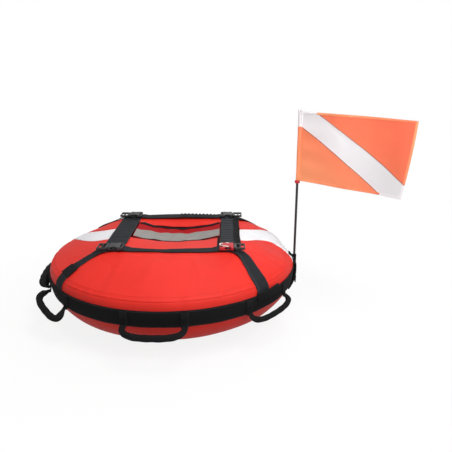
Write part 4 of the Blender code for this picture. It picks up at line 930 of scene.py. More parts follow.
for front_name, azimuths in (("front", (311.0, 325.0)), ("back", (49.0, 35.0))):
    height = BELT_TOP - 0.0045
    foot = polar(section_radius(np.array(height)), np.radians(np.linspace(*azimuths, 40)), height)
    rise = 0.0045 * np.sin(np.linspace(0.3, math.pi, 40)) ** 2
    grid = strip_grid(foot, 0.025, STRAP_LIFT + 0.0022 + rise, 0.0020)
    piece("strap_foot_" + front_name + "_webbing", [grid], belt_webbing, "buoy", closed=True)
piece("strap_stitching", strap_threads, thread, "buoy", closed=True)


# Flaps
# Two red cloth flaps are sewn to the opening's front and back edges and sag a little over the bag. The front
# one has a black binding folded over its free edge.

OPENING_HALF = OPENING_X - 0.0008
FLAP_EDGE_FRONT = -0.037
FLAP_EDGE_BACK = 0.1285
FLAP_SAG = 0.020


def across_share(x, half):
    """1 in the middle of the opening and 0 at its two sides."""
    return np.clip(1 - ((x - FRAME_X) / half) ** 2, 0.0, 1.0)


def flap_height(x, y):
    """A flap leaves the cover level and hangs lower towards its free edge, in an arc across the opening."""
    front_share = (y + OPENING_Y) / (FLAP_EDGE_FRONT + OPENING_Y)
    back_share = (OPENING_Y - y) / (OPENING_Y - FLAP_EDGE_BACK)
    share = np.clip(np.where(y < 0, front_share, back_share), 0.0, 1.0)
    wave = np.sin(x * 47.0 + 25.0 * y) * 0.6 + np.sin(x * 83.0 - 14.0 * y + 2.0) * 0.4
    crease = 0.0013 * share ** 0.7 * wave * across_share(x, OPENING_HALF) ** 0.5
    return crown(x, y) - FLAP_SAG * across_share(x, OPENING_X) * share ** 1.4 + crease


for name, start, end in (("front_flap", -OPENING_Y + 0.0008, FLAP_EDGE_FRONT),
                         ("back_flap", FLAP_EDGE_BACK, OPENING_Y - 0.0008)):
    x = FRAME_X + np.linspace(-1.0, 1.0, 150)[None, :] * OPENING_HALF
    y = np.linspace(start, end, 70 if start < 0 else 30)[:, None]
    flap = joined(x, y, flap_height(x, y))
    piece(name + "_cloth", [flap], red_cloth, "buoy", [name],
                              thickness=CLOTH, middle=(0, 0, 0))


def tube_frames(path):
    """Side and up directions along a path, with up kept as near to +Z as the path allows."""
    tangent = unit(np.gradient(path, axis=0))
    side = unit(np.cross(tangent, [0.0, 0.0, 1.0]))
    return side, np.cross(side, tangent)


def loft(path, side, up, half_width, half_height, power=2.0, around=24, round_ends=0.0):
    """A closed tube whose section is a superellipse. All but around and round_ends may vary along the path.

    The section's outline is w * |cos|^(2/p) to the side and h * |sin|^(2/p) upwards. round_ends is the
    length over which each end closes like a dome.
    """
    half_width, half_height, power = (
        np.broadcast_to(np.asarray(value, float), len(path))[:, None] for value in (half_width, half_height, power)
    )
    side, up = (np.broadcast_to(np.asarray(way, float), path.shape) for way in (side, up))
    at = arc_lengths(path, 0)
    scale = np.ones(len(path))
    if round_ends:
        from_end = np.minimum(at, at[-1] - at)
        scale = np.sqrt(np.clip(1 - (1 - np.clip(from_end / round_ends, 0.0, 1.0)) ** 2, 0.0, 1.0))
    angle = np.linspace(0.0, math.tau, around + 1)[None, :]
    width = np.sign(np.cos(angle)) * np.abs(np.cos(angle)) ** (2 / power) * half_width * scale[:, None]
    height = np.sign(np.sin(angle)) * np.abs(np.sin(angle)) ** (2 / power) * half_height * scale[:, None]
    grid = path[:, None] + side[:, None] * width[..., None] + up[:, None] * height[..., None]
    return closed_ends(grid)


reach = FRAME_HALF - BAND_WIDTH / 2 - 0.0006
x = FRAME_X + np.linspace(-reach, reach, 120)
front_y = FLAP_EDGE_FRONT + 0.0016
edge = joined(x, front_y, flap_height(x, np.full_like(x, FLAP_EDGE_FRONT)) - CLOTH / 2)
tapes = [loft(edge, *tube_frames(edge), 0.0046, 0.0014, 3.0, 20, 0.003)]
y = np.linspace(front_y - 0.002, -OPENING_Y + 0.020, 70)
x = np.full_like(y, FRAME_X + reach - 0.0040)
edge = joined(x, y, flap_height(x, y) + 0.0006)
tapes.append(loft(edge, *tube_frames(edge), 0.0042, 0.0012, 3.0, 20, 0.003))
piece("flap_binding_tape", tapes, belt_webbing, "buoy", ["flap_binding"], closed=True)


# Storage bag and lid
# A round bag of lining hangs in the ring; the lining's dark red is the cover's red darkened, as painted shade
# in the sunken well. Its lid, hinged at the front and closed at the back by a zip that hangs in an arc, is a
# hanging panel of the same lining with a wide stripe of stiffer cloth, whose grey is a white darkened as painted
# shade.

BAG_RADIUS = 0.138
BAG_FOOT_RADIUS = 0.124
BAG_FLOOR = 0.0025
BAG_TOP = 0.215
COLLAR_SAG = 0.010
LID_HALF_X = 0.143
LID_FRONT = -0.0321
LID_BACK = 0.118
LID_SAG = 0.023
LID_LEVEL = CROWN_Z - 0.0015
LID_STRIPE_BACK = 0.044

# Painted shade: the lining is the cover's red, darkened to stand for the shade in the sunken well.
lining = cloth_finish("lining_cloth", (0.38, 0.004, 0.008), 0.6, gloss=0.08)
z = np.concatenate([np.full(12, BAG_FLOOR), np.linspace(BAG_FLOOR, BAG_TOP, 60)[1:]])[:, None]
wall = np.minimum(BAG_FOOT_RADIUS + 0.013 * ramp(z[12:], 0.0, 0.10) ** 0.6, BAG_RADIUS - 0.001)
radius = np.concatenate([np.linspace(0.0, BAG_FOOT_RADIUS, 12)[:, None], wall])
azimuth = np.linspace(0.0, math.tau, 221)
fold = 0.0016 * (np.sin(11 * azimuth + 14 * z) + 0.6 * np.sin(23 * azimuth - 25 * z + 1.0))
fold = fold * ramp(z, 0.0, 0.03) * np.clip((BAG_TOP - z) / 0.03, 0, 1)
bag = polar(radius - np.abs(fold), azimuth, z)
piece("storage_bag_cloth", [bag], lining, "buoy", ["storage_bag"], thickness=0.0009,
      middle=(0, 0, 0.12))

azimuth = np.linspace(0.0, math.tau, 241)
ring = joined(np.cos(azimuth), np.sin(azimuth))
square = ring / np.abs(ring).max(axis=1, keepdims=True) * [OPENING_X - 0.0015, OPENING_Y - 0.0015]
rim = joined(FRAME_X + square[:, 0], square[:, 1], CROWN_Z - 0.0022)
ring_edge = polar(BAG_RADIUS - 0.0015, azimuth, BAG_TOP - 0.004)
share = np.linspace(0.0, 1.0, 14)[:, None, None]
collar = rim * (1 - share) + ring_edge * share
sag = (0.0010 * np.sin(17 * azimuth) - COLLAR_SAG)[None, :, None] * np.sin(math.pi * share)
collar = collar + sag * [0.0, 0.0, 1.0]
piece("storage_bag_collar", [collar], lining, "buoy", thickness=0.0009, middle=(0, 0, -1))


def lid_height(x, y):
    """The lid hangs between its two ends in an arc, with slack wrinkles that lean across it."""
    share = across_share(x, LID_HALF_X)
    wave = 0.0011 * np.sin(x * 64.0 + y * 30.0) + 0.0009 * np.sin(x * 118.0 - y * 52.0 + 1.4)
    return LID_LEVEL - LID_SAG * share + wave * np.sqrt(share)


x = FRAME_X + np.linspace(-1, 1, 160)[None, :] * LID_HALF_X
y = np.linspace(LID_FRONT, LID_BACK, 80)[:, None]
panel = joined(x, y, lid_height(x, y))
lid = piece("lid_cloth", [panel], lining, "lid", ["lid"], thickness=CLOTH, middle=(0, 0, 0))

x = FRAME_X + np.linspace(-1, 1, 140) * (LID_HALF_X - 0.0005)
edge = joined(x, LID_BACK - 0.0026, lid_height(x, LID_BACK) + 0.0008)
tape = loft(edge, *tube_frames(edge), 0.0056, 0.0030, 2.6, 20, 0.003)
piece("lid_binding_tape", [tape], belt_webbing, "lid", closed=True)

# Painted shade: the lid stripe's grey is a white darkened to stand for the shade on the sunken lid.
grey_cloth = cloth_finish("grey_cloth", (0.272, 0.260, 0.245), 0.42, 0.0009)
x = FRAME_X + np.linspace(-1, 1, 200)[None, :] * (LID_HALF_X - 0.001)
stripe_back = LID_STRIPE_BACK + 0.010 * across_share(x, LID_HALF_X)
y = LID_FRONT + 0.003 + np.linspace(0.0, 1.0, 90)[:, None] * (stripe_back - LID_FRONT - 0.003)
crumple = 0.0016 * np.abs(np.sin(x * 38.0 + 95.0 * y)) + 0.0013 * np.abs(np.sin(x * 61.0 - 120.0 * y + 1.0))
crumple = crumple + 0.0012 * np.abs(np.sin(x * 17.0 + 170.0 * y + 0.5))
rise = 0.0008 + crumple * np.sqrt(across_share(x, LID_HALF_X))
lid_stripe = piece("lid_stripe_cloth", [joined(x, y, lid_height(x, y) + rise)], grey_cloth, "lid",
                   ["lid_stripe"], thickness=0.0006, middle=(0, 0, 0))


# Zip
# A coil zip on two woven tapes, with its slider and pull at the left end. It hangs in an arc of one radius.

ZIP_Y = 0.1242
ZIP_HALF_X = 0.140
ZIP_WIDTH = 0.008
SLIDER_X = FRAME_X - 0.126
ZIP_LOW = LID_LEVEL - LID_SAG
ZIP_RADIUS = (ZIP_HALF_X ** 2 + LID_SAG ** 2) / (2 * LID_SAG)

TEETH_PITCH = 0.0024
TEETH_FROM_END = 0.006
SIDEWAYS = (0.0, 1.0, 0.0)


def zip_place(x):
    """A point of the zip's arc, at X from its middle, with the directions along the zip and out of it."""
    angle = x / ZIP_RADIUS
    point = np.array([FRAME_X + x, ZIP_Y, ZIP_LOW + ZIP_RADIUS - math.sqrt(ZIP_RADIUS ** 2 - x ** 2)])
    forward, over = (math.cos(angle), 0.0, math.sin(angle)), (-math.sin(angle), 0.0, math.cos(angle))
    return point, np.array(forward), np.array(over)


zip_tape = webbing_finish("zip_tape", (0.012, 0.012, 0.014), (0.045, 0.045, 0.050), ZIP_WIDTH, 0.75)
x = np.linspace(-ZIP_HALF_X, ZIP_HALF_X, 120)
arc = joined(FRAME_X + x, ZIP_Y, ZIP_LOW + ZIP_RADIUS - np.sqrt(ZIP_RADIUS ** 2 - x ** 2) - 0.0010)
teeth = [loft(arc, *tube_frames(arc), ZIP_WIDTH / 2 + 0.0024, 0.0012, 4.0, 20)]
toothed = ZIP_HALF_X - TEETH_FROM_END
for index, x in enumerate(np.linspace(-toothed, toothed, int(2 * toothed / TEETH_PITCH))):
    point, forward, above = zip_place(x)
    middle = 0.0007 * (1 if index % 2 else -1)
    path = point + (middle + np.linspace(-0.0016, 0.0016, 5))[:, None] * SIDEWAYS
    teeth.append(loft(path, forward, above, 0.0008, 0.0010, 2.0, 8, 0.0008))
piece("lid_zip_tape", teeth, zip_tape, "buoy", ["lid_zip"], closed=True)

steel = Finish("steel", 0.3, 1.0)
steel.bump(steel.vary(steel.noise(220.0, 3.0), (0.30, 0.30, 0.32), (0.52, 0.52, 0.54), 0.20, 0.28), 0.00004)
point, forward, above = zip_place(SLIDER_X - FRAME_X)
t = np.linspace(-0.0068, 0.0068, 24)
path = point + above * 0.0016 + t[:, None] * forward
slider_grids = [loft(path, SIDEWAYS, above, 0.0026 + 0.0013 * ramp(t, -0.002, 0.006), 0.0011, 4.0, 20, 0.0015)]
turn = np.linspace(0.0, math.pi, 14)[:, None]
bridge = point + above * (0.0024 + 0.0020 * np.sin(turn)) + forward * (0.0045 * np.cos(turn))
normal = unit(above * np.sin(turn) + forward * np.cos(turn))
slider_grids.append(loft(bridge, SIDEWAYS, normal, 0.0011, 0.0006, 2.6, 10))
pull = 0.017
t = np.linspace(0.0, pull, 26)
path = point + above * (0.0030 - 0.0008 * (t / pull)[:, None]) + forward * (0.004 + t)[:, None]
slider_grids.append(loft(path, SIDEWAYS, above, 0.0016 + 0.0006 * (t / pull), 0.0007, 4.0, 16, 0.002))
gunmetal = Finish("gunmetal", 0.45, 1.0)
gunmetal.vary(gunmetal.noise(300.0, 3.0), (0.030, 0.030, 0.033), (0.085, 0.085, 0.090), 0.38, 0.2)
piece("zip_slider_metal", slider_grids, gunmetal, "zip_slider", ["zip_slider"], closed=True)


# Side-release buckles
# Moulded nylon, 38 mm. The socket half is a shell that is open at its mouth and at both sides, where the
# prongs' ends show, and holds its strap on a bar. The front right socket is red with a pale release frame, and a
# pale strip on it is a painted highlight.

BUCKLE_WIDTH = 0.046
BUCKLE_HEIGHT = 0.0100
BUCKLE_FEMALE = 0.043
BUCKLE_MALE = 0.034
BUCKLE_PRONG = 0.034
BUCKLE_SHIFT = 0.010


def plastic_finish(name, colour, light, roughness=0.38):
    """Moulded nylon: a fine spark texture, a little paler on its worn places, with a soft gloss."""
    finish = Finish(name, roughness)
    grain = finish.noise(1400.0, 2.0)
    finish.vary(finish.noise(55.0, 3.0), colour, light, roughness - 0.08, 0.2)
    finish.bump(grain, 0.00005)
    return finish


black_plastic = plastic_finish("black_plastic", (0.010, 0.010, 0.011), (0.040, 0.042, 0.045))
red_plastic = plastic_finish("red_plastic", (0.40, 0.008, 0.016), (0.60, 0.016, 0.026), 0.45)
# Pale plastic for the release frame, and for a strip that is a painted highlight.
pale_plastic_and_highlight = plastic_finish("pale_plastic_and_highlight", (0.62, 0.54, 0.47), (0.80, 0.74, 0.68), 0.40)


UPWARDS = (0.0, 0.0, 1.0)


def bar(start, end, half_width, half_height, power=4.0, rounding=0.0012, count=18, around=20):
    """A straight moulded bar with rounded ends, lying level, between two points."""
    start, end = np.array(start, float), np.array(end, float)
    share = (1 - np.cos(np.linspace(0.0, math.pi, count))) / 2
    path = start + share[:, None] * (end - start)
    side = np.cross((end - start) / np.linalg.norm(end - start), UPWARDS)
    return loft(path, side, UPWARDS, half_width, half_height, power, around, rounding)


def plate(x, half_width, z, half_height, crown_rise=0.0, power=6.0):
    """A moulded plate along X whose half width varies, bowed upwards in its middle."""
    share = (x - x[0]) / (x[-1] - x[0])
    path = joined(x, 0.0, z + crown_rise * np.sin(math.pi * share))
    return loft(path, SIDEWAYS, UPWARDS, half_width, half_height, power, 28, 0.0015)


def socket_grids():
    """Socket half, from its mouth at X = 0 back to the strap bar at -BUCKLE_FEMALE."""
    half, height, middle, back = BUCKLE_WIDTH / 2, BUCKLE_HEIGHT, BUCKLE_HEIGHT / 2, -BUCKLE_FEMALE
    x = np.linspace(-0.0345, 0.0, 40)
    waist = 1 - 0.20 * np.exp(-((x + 0.017) / 0.0075) ** 4)
    grids = []
    for z, rise, thin in ((height - 0.0013, 0.0009, 0.0013), (0.0013, 0.0, 0.0012)):
        grids.append(plate(x, (half - 0.0008) * waist, z, thin, rise))
    for side in (-1, 1):
        y = side * (half - 0.0026)
        grids.append(bar((-0.0085, y, middle), (-0.0003, y, middle), 0.0024, middle - 0.0004, 5.0))
        grids.append(bar((back + 0.001, y, middle), (-0.0260, y, middle), 0.0025, middle - 0.0006, 5.0))
    y = half - 0.0010
    grids.append(bar((back + 0.0026, -y, 0.0042), (back + 0.0026, y, 0.0042), 0.0025, 0.0030, 3.0))
    grids.append(bar((-0.0335, -y + 0.002, middle), (-0.0335, y - 0.002, middle), 0.0018, middle - 0.0008, 5.0))
    z = height + 0.0002
    for x in (-0.0300, -0.0270, -0.0240):
        grids.append(bar((x, -0.010, z), (x, 0.010, z), 0.0006, 0.0006, 2.0, 0.0006, 8, 10))
    return grids


def prong_grids():
    """Prong half: three prongs that reach into the socket, a shoulder, and a ladder of two strap bars."""
    half, middle = BUCKLE_WIDTH / 2 * 0.92, BUCKLE_HEIGHT / 2
    t = np.linspace(0.0, 1.0, 36)
    bow = 0.0036 * np.sin(math.pi * ramp(t, 0.25, 0.55)) - 0.0018 * t
    grids = [plate(np.linspace(0.0006, 0.0092, 16), half - 0.0010, middle, middle - 0.0006, 0.0, 5.0)]
    for side in (-1, 1):
        path = joined(0.002 - (BUCKLE_PRONG - 0.001) * t, side * (0.0120 + bow), middle)
        width = 0.0022 + 0.0014 * bell(t - 0.55, 0.16)
        grids.append(loft(path, *tube_frames(path), width, 0.0022, 4.0, 18, 0.002))
        y = side * (half - 0.0022)
        grids.append(bar((0.004, y, middle), (BUCKLE_MALE + 0.0002, y, middle), 0.0022, middle - 0.0016, 4.0))
    grids.append(bar((0.003, 0.0, middle), (-0.026, 0.0, middle), 0.0030, 0.0020, 4.0, 0.002))
    y = half - 0.0012
    for x, tall in ((0.0200, 0.0030), (0.0320, 0.0026)):
        grids.append(bar((x, -y, middle), (x, y, middle), 0.0021, tall, 3.0))
    z = middle + 0.0026
    for y in y * np.linspace(-0.85, 0.85, 9):
        grids.append(bar((0.0179, y, z), (0.0222, y, z), 0.0007, 0.0007, 2.0, 0.0006, 6, 8))
    return grids


def release_frame_and_highlight_grids():
    """The pale release frame on the red socket, an open ring and an arm, and a pale strip that is a painted
    highlight.
    """
    arc = np.linspace(0.35 * math.pi, 1.62 * math.pi, 40)
    path = joined(-0.0350 + 0.0065 * np.cos(arc), 0.0030 + 0.0100 * np.sin(arc), BUCKLE_HEIGHT + 0.0009)
    grids = [loft(path, *tube_frames(path), 0.0021, 0.0012, 3.0, 16, 0.002)]
    z = BUCKLE_HEIGHT + 0.0010
    grids.append(bar((-0.0330, -0.0110, z), (-0.0150, -0.0165, z), 0.0030, 0.0014, 2.6, 0.003))
    # Painted highlight: a pale strip on the socket's back edge, where light glints on the red.
    grids.append(bar((-0.0240, 0.0170, z), (-0.0130, 0.0160, z), 0.0016, 0.0014, 2.6, 0.003))
    return grids


def spin(degrees):
    """The matrix that turns rows of points about the Z axis."""
    turn = math.radians(degrees)
    return np.array([[math.cos(turn), math.sin(turn), 0.0], [-math.sin(turn), math.cos(turn), 0.0], UPWARDS])


for label, front, side in (
    ("front_left", -1, -1), ("front_right", -1, 1), ("back_left", 1, -1), ("back_right", 1, 1),
):
    socket, prongs = "buckle_" + label, "buckle_prongs_" + label
    corner = np.array([FRAME_X + side * (FRAME_HALF + BUCKLE_SHIFT), front * FRAME_HALF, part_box(socket)[0].z])
    turn = spin(0.0 if side > 0 else 180.0)
    colour, slot = (red_plastic, "red_plastic") if label == "front_right" else (black_plastic, "black_plastic")
    made = [grid @ turn + corner for grid in socket_grids()]
    piece(socket + "_socket", made, colour, "buoy", [socket], closed=True)
    made = [grid @ turn + corner for grid in prong_grids()]
    piece(socket + "_prongs", made, black_plastic, prongs, [prongs], closed=True)
    if label == "front_right":
        made = [grid @ turn + corner for grid in release_frame_and_highlight_grids()]
        piece("buckle_release_frame_and_highlight", made, pale_plastic_and_highlight, "buoy", closed=True)
        z = BUCKLE_HEIGHT + 0.0008
        button = bar((-0.0100, -0.0130, z), (-0.0100, 0.0130, z), 0.0042, 0.0016, 2.4, 0.003)
        piece("buckle_release_bar", [button @ turn + corner], red_plastic, "buoy", closed=True)


# Handles
# Each is one length of black webbing that leaves the belt flat, folds round a soft core into a thick grip and
# comes back flat. Its two sewn ends turn on the belt's lower edge.

HANDLE_REACH = 0.042
HANDLE_Z = 0.115
HANDLE_ROOT = 0.4094
ROOT_DEPTH = 0.0045
FLAT_HALF = 0.0026
GRIP_HALF = 0.0098
# How some handles differ from the rest. Droop and twist are in degrees, push is how far the grip is moved along
# the belt, power the outline's, and folding the share of the length over which the webbing becomes the grip.
HANDLE_SHAPES = {
    "front": {"droop": 3.0, "reach": 0.001, "power": 2.7},
    "front_left": {"droop": 4.0, "twist": 24.0, "reach": 0.001, "push": 0.010, "power": 3.5, "wider": 1.2,
                   "folding": 0.09},
    "left": {"droop": 14.0, "twist": 24.0, "reach": -0.021, "power": 2.8, "wider": 1.9, "folding": 0.12},
    "front_right": {"droop": 5.0, "twist": -15.0, "reach": -0.012, "power": 2.6, "folding": 0.16},
}

handle_webbing = webbing_finish("handle_webbing", (0.0045, 0.0042, 0.0046), (0.018, 0.017, 0.019), 0.026, 0.82)


def relaxed(line, times):
    """Smooth a line, a number of times, by averaging each inner point with its two neighbours."""
    for _ in range(times):
        line[1:-1] = (line[:-2] + 2 * line[1:-1] + line[2:]) / 4
    return line


def handle_path(azimuth, half_angle, droop, twist, reach, push, power):
    """Centre line of a handle and the direction across its plane.

    It is half a superellipse about the hinge line between the two sewn ends, turned down by the droop, and
    each end runs straight on to the belt. A twist turns one end further down and the other less, and a push
    moves the outer part sideways.
    """
    half = HANDLE_ROOT * math.sin(math.radians(half_angle))
    base = HANDLE_ROOT * math.cos(math.radians(half_angle))
    a = np.linspace(0.0, math.pi, 400)
    aside = half * np.sign(np.cos(a)) * np.abs(np.cos(a)) ** (2 / power)
    out = np.sin(a) ** (2 / power)
    line = joined(reach * out, aside + push * out, 0.0)
    line = np.concatenate([[[-ROOT_DEPTH, half, 0.0]], line, [[-ROOT_DEPTH, -half, 0.0]]])
    line = relaxed(even(line, 120), 6)
    tip = np.radians(droop + twist * line[:, 1] / half)
    level = joined(line[:, 0] * np.cos(tip), line[:, 1], -line[:, 0] * np.sin(tip))
    root = polar(base, math.radians(azimuth), HANDLE_Z)
    return level @ spin(azimuth) + root, joined(np.sin(tip), 0.0, np.cos(tip)) @ spin(azimuth)


def make_handle(node, azimuth, half_angle, hang, droop=0.0, twist=0.0, reach=0.0, push=0.0, power=3.0,
                wider=1.0, folding=0.20):
    """One handle: flat at its two ends, and folded into a thick grip between them, with a row of stitches."""
    path, up = handle_path(azimuth, half_angle, hang + droop, twist, HANDLE_REACH + reach, push, power)
    tangent = unit(np.gradient(path, axis=0))
    flat_side = unit(np.cross(tangent, up))
    share = np.linspace(0.0, 1.0, len(path))
    fold = eased(ramp(np.minimum(share, 1 - share), 0.03, folding))
    slack = 1 + 0.035 * np.sin(share * 41.0 + azimuth) * fold
    in_plane = (0.0088 - 0.0006 * fold) * (1 + (wider - 1) * fold) * slack
    across = (FLAT_HALF + (GRIP_HALF - FLAT_HALF) * fold) * slack
    over = np.cross(flat_side, tangent)
    grip = loft(path, flat_side, over, in_plane, across, 3.6 - 1.4 * fold, 36)
    made = piece(node + "_webbing", [grip], handle_webbing, node, [node], closed=True)
    seam = (path - over * (across[:, None] + 0.0001))[26:-26]
    piece(node + "_stitching", stitch_grids(seam, -up[26:-26]), thread, node, closed=True)


for name, azimuth, half_angle, hang in HANDLES:
    make_handle("handle_" + name, azimuth, half_angle, hang, **HANDLE_SHAPES.get(name, {}))


# Tow ring
# A welded steel ring in a short webbing loop that is sewn to the belt at the back.

RING_AZIMUTH = 67.0
RING_WIRE = 0.0025
RING_HALF = 0.017
RING_FACE = BODY_RADIUS + BELT_LIFT + BELT_THICKNESS + 0.0003
EYE_RADIUS = 0.0042
RING_AXIS = RING_FACE + EYE_RADIUS + 0.0003
RING_Z = BELT_Z - BELT_WIDTH / 2 - RING_WIRE * 0.8
RING_BAR = 0.016  # half length of the ring's straight bar, and the height of its two straight legs
RING_LEG = 0.0118

a = np.radians(np.linspace(20.0, 160.0, 60))
leg = RING_BAR + 0.001 * np.sin(np.linspace(0, math.pi, 8))
outline = np.concatenate([
    joined(0.0, np.linspace(-RING_BAR, RING_BAR, 20)[1:-1], 0.0),
    joined(0.0, leg, np.linspace(0.0, -RING_LEG, 8)),
    joined(0.0, RING_HALF * np.cos(a), -0.006 - RING_HALF * np.sin(a))[1:-1],
    joined(0.0, -leg, np.linspace(-RING_LEG, 0.0, 8)),
])
outline = relaxed(np.concatenate([outline, outline[:1]]), 3) + [RING_AXIS, 0.0, RING_Z]
outwards = np.array([1.0, 0.0, 0.0])
up = np.cross(unit(np.gradient(outline, axis=0)), outwards)
turn = np.linspace(0.0, math.tau, 19)[None, :, None]
ring = outline[:, None] + RING_WIRE * (outwards * np.cos(turn) + up[:, None] * np.sin(turn))
ring[-1] = ring[0]
piece("tow_ring_steel", [ring @ spin(RING_AZIMUTH)], steel, "tow_ring", ["tow_ring"], closed=True)

a = np.linspace(math.pi, 2.45 * math.pi, 40)
eye = EYE_RADIUS - 0.0006
back_x = np.linspace(RING_FACE + 0.0032, RING_FACE + 0.0020, 16)
course = np.concatenate([
    joined(np.full(16, RING_FACE + 0.0006), 0.0, np.linspace(BELT_TOP - 0.006, RING_Z, 16)),
    joined(RING_AXIS + eye * np.cos(a), 0.0, RING_Z + eye * np.sin(a))[1:],
    joined(back_x, 0.0, np.linspace(RING_Z + 0.0068, BELT_TOP - 0.010, 16)),
])
up = np.cross(SIDEWAYS, unit(np.gradient(course, axis=0)))
loop = loft(course, SIDEWAYS, up, 0.012, 0.0006, 8.0, 28) @ spin(RING_AZIMUTH)
piece("tow_loop_webbing", [loop], belt_webbing, "buoy", ["tow_loop"], closed=True)


# Valve
# An oral valve of dark plastic through the underside: a stem welded to the inner tube, a flange round it on
# the cloth, and a cap that screws on.

VALVE_AZIMUTH = 118.0
VALVE_FROM_EDGE = 0.040

valve_radius = BODY_RADIUS - VALVE_FROM_EDGE
valve_height = WIDEST_Z * (1 - (1 - ((valve_radius - FLAT_RADIUS) / DEPTH) ** BULGE) ** (1 / BULGE))
radial = ((valve_radius - FLAT_RADIUS) / DEPTH) ** (BULGE - 1) / DEPTH
down = ((WIDEST_Z - valve_height) / WIDEST_Z) ** (BULGE - 1) / WIDEST_Z
valve_axis = np.array([radial, 0.0, -down]) / math.hypot(radial, down)
valve_frame = np.stack([SIDEWAYS, np.cross(valve_axis, SIDEWAYS), valve_axis])
valve_seat = np.array([valve_radius, 0.0, valve_height])


def valve_turned(profile, count=72, knurls=0, depth=0.0):
    """Turn a profile of (radius, height) points round the valve's axis, with knurls on its widest rim."""
    radius, height = np.array(profile, float).T
    azimuth = np.linspace(0.0, math.tau, count + 1)[None, :]
    rim = (radius > radius.max() * 0.93)[:, None] * depth * (0.5 + 0.5 * np.cos(knurls * azimuth))
    grid = polar(radius[:, None] - rim, azimuth, height[:, None]) @ valve_frame + valve_seat
    return grid @ spin(VALVE_AZIMUTH)


stem = [(0.0040, 0.0040), (0.0080, 0.0045), (0.0088, 0.0040)]
stem += [(0.0088, -0.0138), (0.0040, -0.0138), (0.0040, 0.0040)]
piece("valve_stem", [valve_turned(stem)], black_plastic, "buoy", ["valve_body"], closed=True)
port = [(0.0094, 0.0013), (0.0158, 0.0013), (0.0160, 0.0018), (0.0155, 0.0024), (0.0120, 0.0027)]
port += [(0.0105, 0.0036), (0.0094, 0.0036), (0.0094, 0.0013)]
piece("valve_flange", [valve_turned(port)], black_plastic, "buoy", ["valve_port"], closed=True)
cap = [(0.0, 0.0049), (0.0098, 0.0049), (0.0105, 0.0055), (0.0105, 0.0090), (0.0102, 0.0100), (0.0094, 0.0106)]
cap += [(0.0070, 0.0108), (0.0064, 0.0102), (0.0, 0.0102)]
cap_grid = valve_turned(cap, 144, 24, 0.0005)
piece("valve_cap_plastic", [cap_grid], black_plastic, "valve_cap", ["valve_cap"], closed=True)


# Inner tube
# The air bladder inside the cover, a smooth ring of coated skin. It shows only where the lid and bag are open.

TUBE_INSET = 0.0042
TUBE_RISE = 0.066
TUBE_MIDDLE = 0.264
TUBE_HALF = 0.118

bladder = Finish("bladder_skin", 0.35)
bladder.vary(bladder.noise(12.0, 3.0), (0.020, 0.022, 0.026), (0.045, 0.050, 0.058), 0.28, 0.2)
bladder.bump(bladder.noise(700.0), 0.00005)
limit = math.acos(((TUBE_MIDDLE - FLAT_RADIUS) / DEPTH) ** (BULGE / 2))
a = np.linspace(limit, -limit, 70)
radius = FLAT_RADIUS + DEPTH * np.cos(a) ** (2 / BULGE)
rise = np.where(a > 0, TUBE_RISE, WIDEST_Z)
height = WIDEST_Z + np.sign(a) * rise * np.abs(np.sin(a)) ** (2 / BULGE)
across = ((radius - FLAT_RADIUS) / DEPTH) ** (BULGE - 1) / DEPTH
up = np.sign(a) * (np.abs(height - WIDEST_Z) / rise) ** (BULGE - 1) / rise
normal = unit(joined(across, up))
radius, height = radius - TUBE_INSET * normal[:, 0], height - TUBE_INSET * normal[:, 1]
a = np.linspace(-math.pi / 2, math.pi / 2, 40)[1:-1]
middle, half = (height[0] + height[-1]) / 2, (height[0] - height[-1]) / 2
radius = np.concatenate([radius, radius[-1] - TUBE_HALF * np.cos(a), radius[:1]])
height = np.concatenate([height, middle + half * np.sin(a), height[:1]])
tube = slumped(polar(radius[:, None], np.linspace(0.0, math.tau, 181), height[:, None]))
piece("inner_tube_skin", [tube], bladder, "buoy", ["inner_tube"], closed=True)


# Pole
# An 8 mm fibre rod with a rubber boot and cap. It stands in a webbing pocket sewn to the belt, held by a
# narrow tie whose two ends stick out, and carries a red ring that the flag's sleeve stands on.

POLE_RADIUS = 0.0040
TIE_ROLL = -82.8  # degrees that the tie's free end is rolled over

low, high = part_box("pole_pocket")
POLE_X, POLE_Y = (low.x + high.x) / 2, (low.y + high.y) / 2
POCKET_LOW, POCKET_HIGH, POCKET_RADIUS = low.z, high.z, (high.x - low.x) / 2


def pole_turned(profile):
    """Turn a profile of (radius, height) points round the pole's axis."""
    radius, height = np.array(profile, float).T
    azimuth = np.linspace(0.0, math.tau, 49)
    return polar(radius[:, None], azimuth, height[:, None]) + [POLE_X, POLE_Y, 0.0]


pole_rod = Finish("pole_rod", 0.35)
x, _, z = pole_rod.axes("Object")
wound = ((z * 900.0 + x * 500.0).sine() * 0.5 + 0.5) * 0.6 + pole_rod.noise(90.0) * 0.4
pole_rod.bump(pole_rod.vary(wound, (0.008, 0.008, 0.009), (0.035, 0.035, 0.038), 0.25, 0.2), 0.00004)
low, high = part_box("pole")
heights = np.concatenate([[low.z], np.linspace(low.z, high.z, 90), [high.z]])
radii = np.concatenate([[0.0], np.full(90, POLE_RADIUS), [0.0]])
rod = pole_turned(joined(radii, heights))
piece("pole_rod", [rod], pole_rod, "pole", ["pole"], closed=True)

